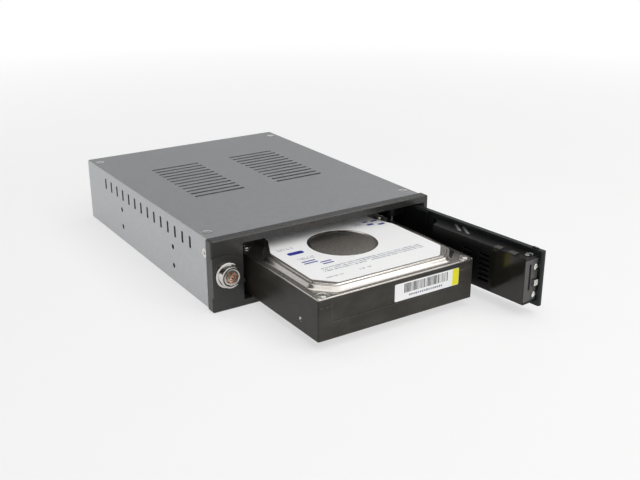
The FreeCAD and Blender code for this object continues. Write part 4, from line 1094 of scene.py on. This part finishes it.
def hubLoop(points, radius):
    # a circle round the hub with a point facing each given point
    turns = [math.atan2(point.y - hubCentre.y, point.x - hubCentre.x) for point in points]
    return [hubCentre + Vector((radius * math.cos(turn), radius * math.sin(turn))) for turn in turns]


def joinedMesh(name, meshes):
    whole = bpy.data.meshes.new(name)
    with edited(whole) as shape:
        for mesh in meshes:
            shape.from_mesh(mesh)
    return whole


def driveLid():
    base = lidLow.z
    top, plate = [], []
    for inset, height in lid["profile"]:
        ring = roundedLoop(lidCorners, (inset - lid["topInset"]) * mm, lid["cornerRound"] * mm)
        top.append(atLevel(ring, base + height * mm))
    outer = top[-1]
    for inset, height in lid["hubProfile"]:
        top.append(atLevel(hubLoop(outer, hubRadius - inset * mm), base + height * mm))
    corners = rectangle(lidLow.x, lidLow.y, lidHigh.x, lidHigh.y)
    for inset, height in lid["plateProfile"]:
        ring = roundedLoop(corners, inset * mm, lid["plateRound"] * mm)
        plate.append(atLevel(ring, base + height * mm))
    mesh = joinedMesh("driveLid", (ringMesh("lidTop", top), ringMesh("lidPlate", plate)))

    def isHub(spot):
        away = (Vector(spot[:2]) - hubCentre).length
        return away < hubRadius - lid["hubEdge"] * mm and spot.z > base + lid["hubLevel"] * mm

    piece = evenNormals(addPiece(tidyNormals(mesh)), lid["smooth"])
    place(twoFinishes(piece, "lid", "hub", isHub), None, "drive_cover")


cup = {"steps": 48, "margin": 0.12, "smooth": 45,
       "profile": [(2.85, 0.5), (2.9, 0.84), (3.05, 0.98), (3.3, 1.02), (3.6, 0.97), (3.95, 0.8),
                   (3.95, 0.5)]}


def cutAlong(shape, spot, facing):
    # takes away what lies on the facing side of a plane and closes the cut
    geometry = shape.verts[:] + shape.edges[:] + shape.faces[:]
    bmesh.ops.bisect_plane(shape, geom=geometry, plane_co=spot, plane_no=facing, clear_outer=True)
    bmesh.ops.holes_fill(shape, edges=[edge for edge in shape.edges if len(edge.link_faces) == 1])


def screwCups():
    # the pressed rims round the lid's screws
    reach = cup["margin"] * mm
    for index, solid in enumerate(islandBoxes("drive_cover_screws")):
        low, high = solid[:2]
        centre = ((low.x + high.x) / 2, (low.y + high.y) / 2, lidLow.z)
        mesh = turnedMesh(f"lidCup{index}", cup["profile"], centre, "z", cup["steps"])
        with edited(mesh) as shape:
            cutAlong(shape, (0, lidLow.y + reach, 0), (0, -1, 0))
            cutAlong(shape, (0, lidHigh.y - reach, 0), (0, 1, 0))
            cutAlong(shape, (lidLow.x + reach, 0, 0), (-1, 0, 0))
            cutAlong(shape, (lidHigh.x - reach, 0, 0), (1, 0, 0))
        rim = addPiece(shadeByAngle(tidyNormals(mesh), cup["smooth"]))
        place(rim, finishes["lid"], body="drive", slotName=slotOf["drive_cover"])


topLabel = {"cornerRound": 3.0, "holeWider": 0.5}


def labelSheet():
    rim = roundedLoop(topOutline("top_label"), 0, topLabel["cornerRound"] * mm)
    hole = hubLoop(rim, hubRadius + topLabel["holeWider"] * mm)
    low, high = labelLow.z, labelHigh.z
    loops = [atLevel(ring, level) for ring, level in ((hole, low), (rim, low), (rim, high), (hole, high))]
    mesh = ringMesh("topLabelSheet", loops + [loops[0]], False, False)
    piece = addPiece(shadeByAngle(tidyNormals(mesh), 30))
    place(piece, finishes["paper"], "top_label")


def onLabel(across, along):
    # a point on the top label, in millimetres from the drive's left and front
    return Vector((driveLow.x + across * mm, driveLow.y + along * mm, labelHigh.z))


prints = {  # where each block starts, then its length, rows, row pitch, mark size, gaps and seed
    "warranty": ([(19.5, 27.0)], 66, 3, 2.0, (0.5, 1.1), 0.12, 5),
    "dateLine": ([(15.5, 15.6)], 11, 1, 2.0, (0.65, 1.0), 0.12, 8),
    "originLine": ([(36.6, 15.9)], 8, 1, 2.0, (0.65, 1.0), 0.1, 9),
    "leftNotes": ([(13.0, 62.0), (16.0, 45.0)], 11, 2, 1.7, (0.8, 0.8), 0.15, 11),
    "rightNotes": ([(70.5, 72.0)], 7, 2, 1.7, (0.8, 0.8), 0.15, 12),
}
blueMarks = {  # across, along, length, width: plain bars
    "bars": [(14.8, 51.4, 10.0, 3.8), (15.4, 39.2, 8.5, 1.2), (15.4, 36.6, 8.5, 1.2), (24.0, 34.2, 7.0, 1.2),
             (24.0, 31.6, 7.0, 1.2), (78.7, 67.0, 4.6, 2.2), (85.2, 64.6, 4.6, 2.2), (79.0, 72.4, 3.6, 1.6),
             (84.6, 71.4, 4.2, 1.6)],
    "round": 0.42, "steps": 4, "levels": (-0.01, 0.02)}
greyThick = 0.03


def printOn(piece, ink=None):
    place(piece, ink and finishes[ink], body="drive", slotName="label_paper")


def labelPrint():
    for name, (spots, length, rows, pitch, (wide, tall), gaps, seed) in prints.items():
        sizes = {"Length": length, "Row Pitch": pitch, "Mark Width": wide, "Mark Height": tall,
                 "Ink": greyThick}
        values = scaled(sizes, Rows=rows, Seed=seed, Finish=finishes["greyInk"])
        values["Gap Share"] = gaps
        points = startPoints(name, [onLabel(*spot) for spot in spots])
        printOn(grow(name + "Print", printedRows, points, values))
    bars = []
    for across, along, length, width in blueMarks["bars"]:
        low, high = onLabel(across, along), onLabel(across + length, along + width)
        corners = rectangle(low.x, low.y, high.x, high.y)
        ring = roundedLoop(corners, 0, width * blueMarks["round"] * mm, blueMarks["steps"])
        loops = [atLevel(ring, labelHigh.z + level * mm) for level in blueMarks["levels"]]
        bars.append(ringMesh("bar", loops))
    printOn(addPiece(tidyNormals(joinedMesh("blueBars", bars))), "blueInk")


frontPrint = {
    "sheet": {"front_label": ("frontLabelSheet", "paper", 0.03)},
    "bars": 34, "start": 6.5, "end": 36.5, "low": 4.0, "high": 9.2, "thick": 0.05,
    "row": {"start": (10, 2.2), "bars": 16, "pitch": 1.45, "tall": 1.1, "thinnest": 0.45, "thickest": 0.8},
    "band": {"start": 39.3, "side": 0.12, "inset": 0.15, "deep": 0.03, "edge": 0.02}}


def frontLabel():
    placeSoft(frontPrint["sheet"])
    thick, row, band = frontPrint["thick"], frontPrint["row"], frontPrint["band"]
    low, high = frontPrint["low"], frontPrint["high"]
    pitch = (frontPrint["end"] - frontPrint["start"]) / frontPrint["bars"]
    start = frontLabelLow + Vector((frontPrint["start"], 0, (low + high) / 2)) * mm
    sizes = {"Pitch": pitch, "Ink": thick, "Bar Height": high - low}
    bars = grow("frontBars", printedBars, startPoints("barStart", [start]),
                scaled(sizes, Bars=frontPrint["bars"], Seed=3, Finish=finishes["blackInk"]))
    printOn(bars)
    start = frontLabelLow + Vector((row["start"][0], 0, row["start"][1])) * mm
    sizes = {"Pitch": row["pitch"], "Ink": thick, "Bar Height": row["tall"]}
    marks = grow("frontRow", printedBars, startPoints("rowStart", [start]),
                 scaled(sizes, Bars=row["bars"], Seed=6, Thinnest=row["thinnest"], Thickest=row["thickest"],
                        Finish=finishes["greyInk"]))
    printOn(marks)
    inset = band["inset"]
    near = frontLabelLow + Vector((band["start"], -band["deep"], inset)) * mm
    far = Vector((frontLabelHigh.x, frontLabelLow.y, frontLabelHigh.z))
    far += Vector((-band["side"], thick, -inset)) * mm
    printOn(roundEdges(addPiece(boxMesh("yellowBand", [(near, far)])), band["edge"]), "yellowInk")


driveBoard = {
    "sheet": {"drive_board": ("driveBoard", "blueBoard", 0.08)},
    "tall": 0.42, "sunk": 0.05, "chipEdge": 0.1,
    "chips": [(-22, 20, 13, 13), (8, 10, 10, 14), (26, 40, 9, 6), (-30, 44, 8, 5), (2, 40, 12, 8)],
    "legs": {"Pitch": 0.8, "Size X": 0.35, "Size Y": 0.9, "Size Z": 0.18}, "legOut": 0.3, "legIn": 1,
    "bits": {"Spacing": 2.6, "Part Length": 1.5, "Part Width": 0.8, "Part Height": 0.35},
    "patch": {"left": 4, "front": 52, "right": 14, "back": 3, "rise": 0.1}}


def driveBoardBits():
    low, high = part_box("drive_board")
    sunk, legOut, legIn = driveBoard["sunk"], driveBoard["legOut"], driveBoard["legIn"]
    boxes, legs = [], []
    for across, along, wide, deep in driveBoard["chips"]:
        corner = Vector((across * mm, low.y + along * mm, low.z - driveBoard["tall"] * mm))
        boxes.append((corner, corner + Vector((wide, deep, driveBoard["tall"] + sunk)) * mm))
        starts = [Vector(((across + legIn) * mm, low.y + edge * mm, low.z - sunk * mm))
                  for edge in (along - legOut, along + deep + legOut)]
        legs.append((starts, int((wide - 2 * legIn) / driveBoard["legs"]["Pitch"]) + 1))
    chips = roundEdges(addPiece(boxMesh("driveChips", boxes)), driveBoard["chipEdge"])
    place(chips, finishes["chip"], body="drive", slotName="drive_board_laminate")
    for index, (starts, count) in enumerate(legs):
        row = grow(f"chipLegs{index}", contactRow, startPoints("legs", starts),
                   scaled(driveBoard["legs"], Pins=count, Finish=finishes["solder"]))
        place(row, None, body="drive", slotName="drive_board_laminate")
    patch = driveBoard["patch"]
    near = Vector((low.x + patch["left"] * mm, low.y + patch["front"] * mm, 0))
    far = Vector((high.x - patch["right"] * mm, high.y - patch["back"] * mm, 0))
    face = boardFace("driveBoardFace", near, far, 2, low.z - patch["rise"] * mm, -1)
    small = grow("driveBoardParts", boardParts, face,
                 scaled(driveBoard["bits"], Seed=7, Finish=finishes["nylon"]))
    place(small, None, body="drive", slotName="drive_board_laminate")


threads = {"radius": 1.42, "crest": 1.15, "pitch": 0.55, "turns": 6, "start": 0.25, "wall": 0.06, "steps": 28,
           "sideRows": (16.9, 76.9, 118.5), "sideUp": 6.35, "underRows": (61.27, 105.72),
           "underAcross": 47.63}


def threadSleeve(name, centre, axis, hand):
    # a ridged sleeve that lines one tapped hole
    root, crest, pitch = threads["radius"], threads["crest"], threads["pitch"]
    profile = [(root, threads["start"])]
    for turn in range(threads["turns"]):
        level = threads["start"] + 0.05 + turn * pitch
        profile += [(root, level), (crest, level + pitch / 2)]
    end = profile[-1][1] + pitch / 2
    wall = root + threads["wall"]
    profile += [(root, end), (wall, end), (wall, threads["start"])]
    turned = [(radius, hand * along) for radius, along in profile]
    mesh = turnedMesh(name, turned, centre, axis, threads["steps"])
    place(addPiece(mesh), finishes["plated"], body="drive", slotName=slotOf["drive_base"])


def threadSleeves():
    middle = (driveLow.x + driveHigh.x) / 2
    up = driveLow.z + threads["sideUp"] * mm
    for index, row in enumerate(threads["sideRows"]):
        along = driveLow.y + row * mm
        threadSleeve(f"threadLeft{index}", (driveLow.x, along, up), "x", 1)
        threadSleeve(f"threadRight{index}", (driveHigh.x, along, up), "x", -1)
    for index, row in enumerate(threads["underRows"]):
        for hand in (-1, 1):
            spot = (middle + hand * threads["underAcross"] * mm, driveLow.y + row * mm, driveLow.z)
            threadSleeve(f"threadUnder{index}{hand + 1}", spot, "z", 1)


drivePlug = {"drive_connector": ("driveConnector", "socket", 0.12)}
plugContacts = {"starts": ((5.2, 7), (14.6, 15)), "back": 2.3, "up": 3.35, "long": 3.8}


def drivePlugContacts():
    low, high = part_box("drive_connector")
    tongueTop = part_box("drive_socket")[0].z + plugContacts["up"] * mm
    corner = Vector((low.x, high.y - plugContacts["back"] * mm, tongueTop))
    contactRows("driveContacts", corner, plugContacts, "drive")


motor = {
    "steps": 72,
    "rings": [            # radius, and height above the lowest face
        (0, 0.1), (1.2, 0.1), (1.5, 0), (5.6, 0), (6.2, 0.15), (6.9, 0.3), (7.6, 0.42), (9.4, 0.42),
        (9.8, 0.32)],
    "rim": [(0.9, 0.32), (0.3, 0.4), (0, 0.6)]}      # inset from the rim, and the same height


def spindleMotor():
    low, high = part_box("spindle_motor")
    centre = ((low.x + high.x) / 2, (low.y + high.y) / 2, 0)
    radius = (high.x - low.x) / 2 / mm
    base, top = low.z / mm, high.z / mm
    profile = [(ring, base + height) for ring, height in motor["rings"]]
    profile += [(radius - inset, base + height) for inset, height in motor["rim"]]
    profile += [(radius, top), (0, top)]
    mesh = turnedMesh("spindleMotor", profile, centre, "z", motor["steps"])
    place(addPiece(mesh), finishes["motor"], "spindle_motor")


placeSoft(casting)
driveLid()
screwCups()
threadSleeves()
labelSheet()
labelPrint()
frontLabel()
placeSoft(driveBoard["sheet"])
driveBoardBits()
placeSoft(drivePlug)
drivePlugContacts()
spindleMotor()
print("drive made")


# Screws

doorAlong = Vector(jointOf["latch_slide"]["axis"])
pan = {"Head Radius": 2.7, "Under Radius": 2.7, "Head Height": 1.2, "Dome": 0.35, "Shank Radius": 1.4,
       "Recess Radius": 1.35, "Recess Depth": 0.85}
sunk = {"Head Radius": 2.7, "Under Radius": 1.4, "Head Height": 0.95, "Dome": 0.0, "Shank Radius": 1.4,
        "Recess Radius": 1.5, "Recess Depth": 0.7}
small = {"Head Radius": 1.8, "Under Radius": 1.8, "Head Height": 0.8, "Dome": 0.2, "Shank Radius": 0.9,
         "Recess Radius": 1.0, "Recess Depth": 0.5}
screwLooks = {  # piece, which way the heads face, recess, sizes, finish and seed
    "drive_cover_screws": ("lidScrews", (0, 0, 1), "star", pan, "screw", 3),
    "cover_screws": ("coverScrews", (0, 0, 1), "cross", sunk, "screw", 4),
    "guide_screws": ("guideScrews", (0, 0, -1), "cross", sunk, "screw", 5),
    "rear_panel_screws": ("rearScrews", (0, 1, 0), "cross", pan, "screw", 6),
    "board_screws": ("boardScrews", (0, -1, 0), "cross", pan, "screw", 7),
    "fan_screws": ("fanScrews", (0, 1, 0), "cross", pan, "blackScrew", 8),
    "cam_screw": ("camScrew", (0, 1, 0), "cross", small, "screw", 9),
    "drive_board_screws": ("driveBoardScrews", (0, 0, -1), "star", small, "screw", 10),
    "end_cap_screws": ("endCapScrews", doorAlong, "star", small, "screw", 11),
}
screwEdge = (0.1, 2, 35)      # edge width, segments and angle
for nodeName, row in screwLooks.items():
    screwSet(nodeName, *row)
place(softCopy("bezel_screws", "bezelScrews", 0.1), finishes["screw"], "bezel_screws")
print("screws made")


# Floor, light and camera

stage = {"floor": colour(0.83, 0.83, 0.825), "wide": 12.0, "level": -0.05, "lift": 0.62, "fade": (0.3, 0.9),
         "band": (0.22, 0.36), "zenith": 0.14, "side": (-0.8, 0.1), "leftDim": 0.4,
         "cameraPlace": (-0.2713, -0.4145, 0.2158), "cameraBack": (-0.5101, -0.7822, 0.3579), "lens": 51.06}
lamps = {  # place, what it points at, width and height, watts
    "overhead": ((0.12, -0.05, 0.85), (0, -0.03, 0), (1.25, 1.15), 6.6),
    "front": ((0.15, -0.75, 0.6), (0, -0.03, 0.03), (0.9, 0.5), 3.0),
    "glint": ((0.42, -0.36, 0.66), (0, -0.03, 0.03), (0.7, 0.06), 0.45),
    "rearLeft": ((-0.32, 0.72, 0.5), (0, 0.0, 0.03), (0.4, 0.4), 0.4),
}


def floorFinish():
    material, tree, spot = startFinish("studioFloor")
    shader = tree.nodes["Principled BSDF"]
    grain = noise(tree, spot, 40, 3)
    base = mixed(tree, grain, shaded(stage["floor"], 0.985), stage["floor"])
    tree.links.new(base, shader.inputs["Base Color"])
    shader.inputs["Roughness"].default_value = 0.75
    away = put(tree, "ShaderNodeVectorMath", {0: spot}, operation="LENGTH").outputs["Value"]
    near, far = stage["fade"]
    share = spread(tree, away, near, far, stage["lift"], 1.0)
    seen = put(tree, "ShaderNodeLightPath").outputs
    clear = mathOf(tree, "MAXIMUM", mathOf(tree, "MAXIMUM", seen["Is Camera Ray"], seen["Is Glossy Ray"]),
                   seen["Is Transmission Ray"])
    white = out(tree, "ShaderNodeEmission", {"Color": colour(1, 1, 1), "Strength": 1.0})
    shown = out(tree, "ShaderNodeMixShader", {
        0: times(tree, share, clear), 1: shader.outputs[0], 2: white})
    tree.links.new(shown, tree.nodes["Material Output"].inputs["Surface"])
    return material


def studio():
    half = stage["wide"] / 2
    corners = atLevel(rectangle(-half, -half, half, half), stage["level"] * mm)
    mesh = meshOf("studioFloor", corners, [], [(0, 1, 2, 3)])
    mesh.materials.append(floorFinish())
    addPiece(mesh)
    for name, (spot, target, size, power) in lamps.items():
        light = bpy.data.lights.new(name, "AREA")
        light.shape = "RECTANGLE"
        light.size, light.size_y = size
        light.energy = power
        lamp = bpy.data.objects.new(name, light)
        lamp.location = spot
        lamp.visible_camera = False
        lamp.rotation_euler = (Vector(target) - Vector(spot)).to_track_quat("-Z", "Y").to_euler()
        bpy.context.scene.collection.objects.link(lamp)
    world = bpy.data.worlds.new("studioAir")
    world.use_nodes = True
    tree = world.node_tree
    tree.nodes.clear()
    direction = put(tree, "ShaderNodeTexCoord").outputs["Generated"]
    way = put(tree, "ShaderNodeSeparateXYZ", {0: direction}).outputs
    above = spread(tree, way["Z"], *stage["band"], 0.0, 1.0)
    sky = times(tree, spread(tree, way["X"], *stage["side"], stage["leftDim"], 1.0), stage["zenith"])
    strength = mathOf(tree, "MULTIPLY_ADD", above, minus(tree, sky, 1.0), 1.0)
    air = out(tree, "ShaderNodeBackground", {"Color": colour(1, 1, 1), "Strength": strength})
    put(tree, "ShaderNodeOutputWorld", {"Surface": air})
    bpy.context.scene.world = world


def camera():
    view = bpy.data.cameras.new("studioCamera")
    view.lens = stage["lens"]
    view.sensor_width = 36
    view.clip_start, view.clip_end = 0.01, 20
    holder = bpy.data.objects.new("studioCamera", view)
    holder.location = stage["cameraPlace"]
    holder.rotation_mode = "QUATERNION"
    holder.rotation_quaternion = (-Vector(stage["cameraBack"])).to_track_quat("-Z", "Y")
    bpy.context.scene.collection.objects.link(holder)
    bpy.context.scene.camera = holder


studio()
camera()
bpy.context.scene.view_settings.view_transform = "Standard"

print("scene finished")
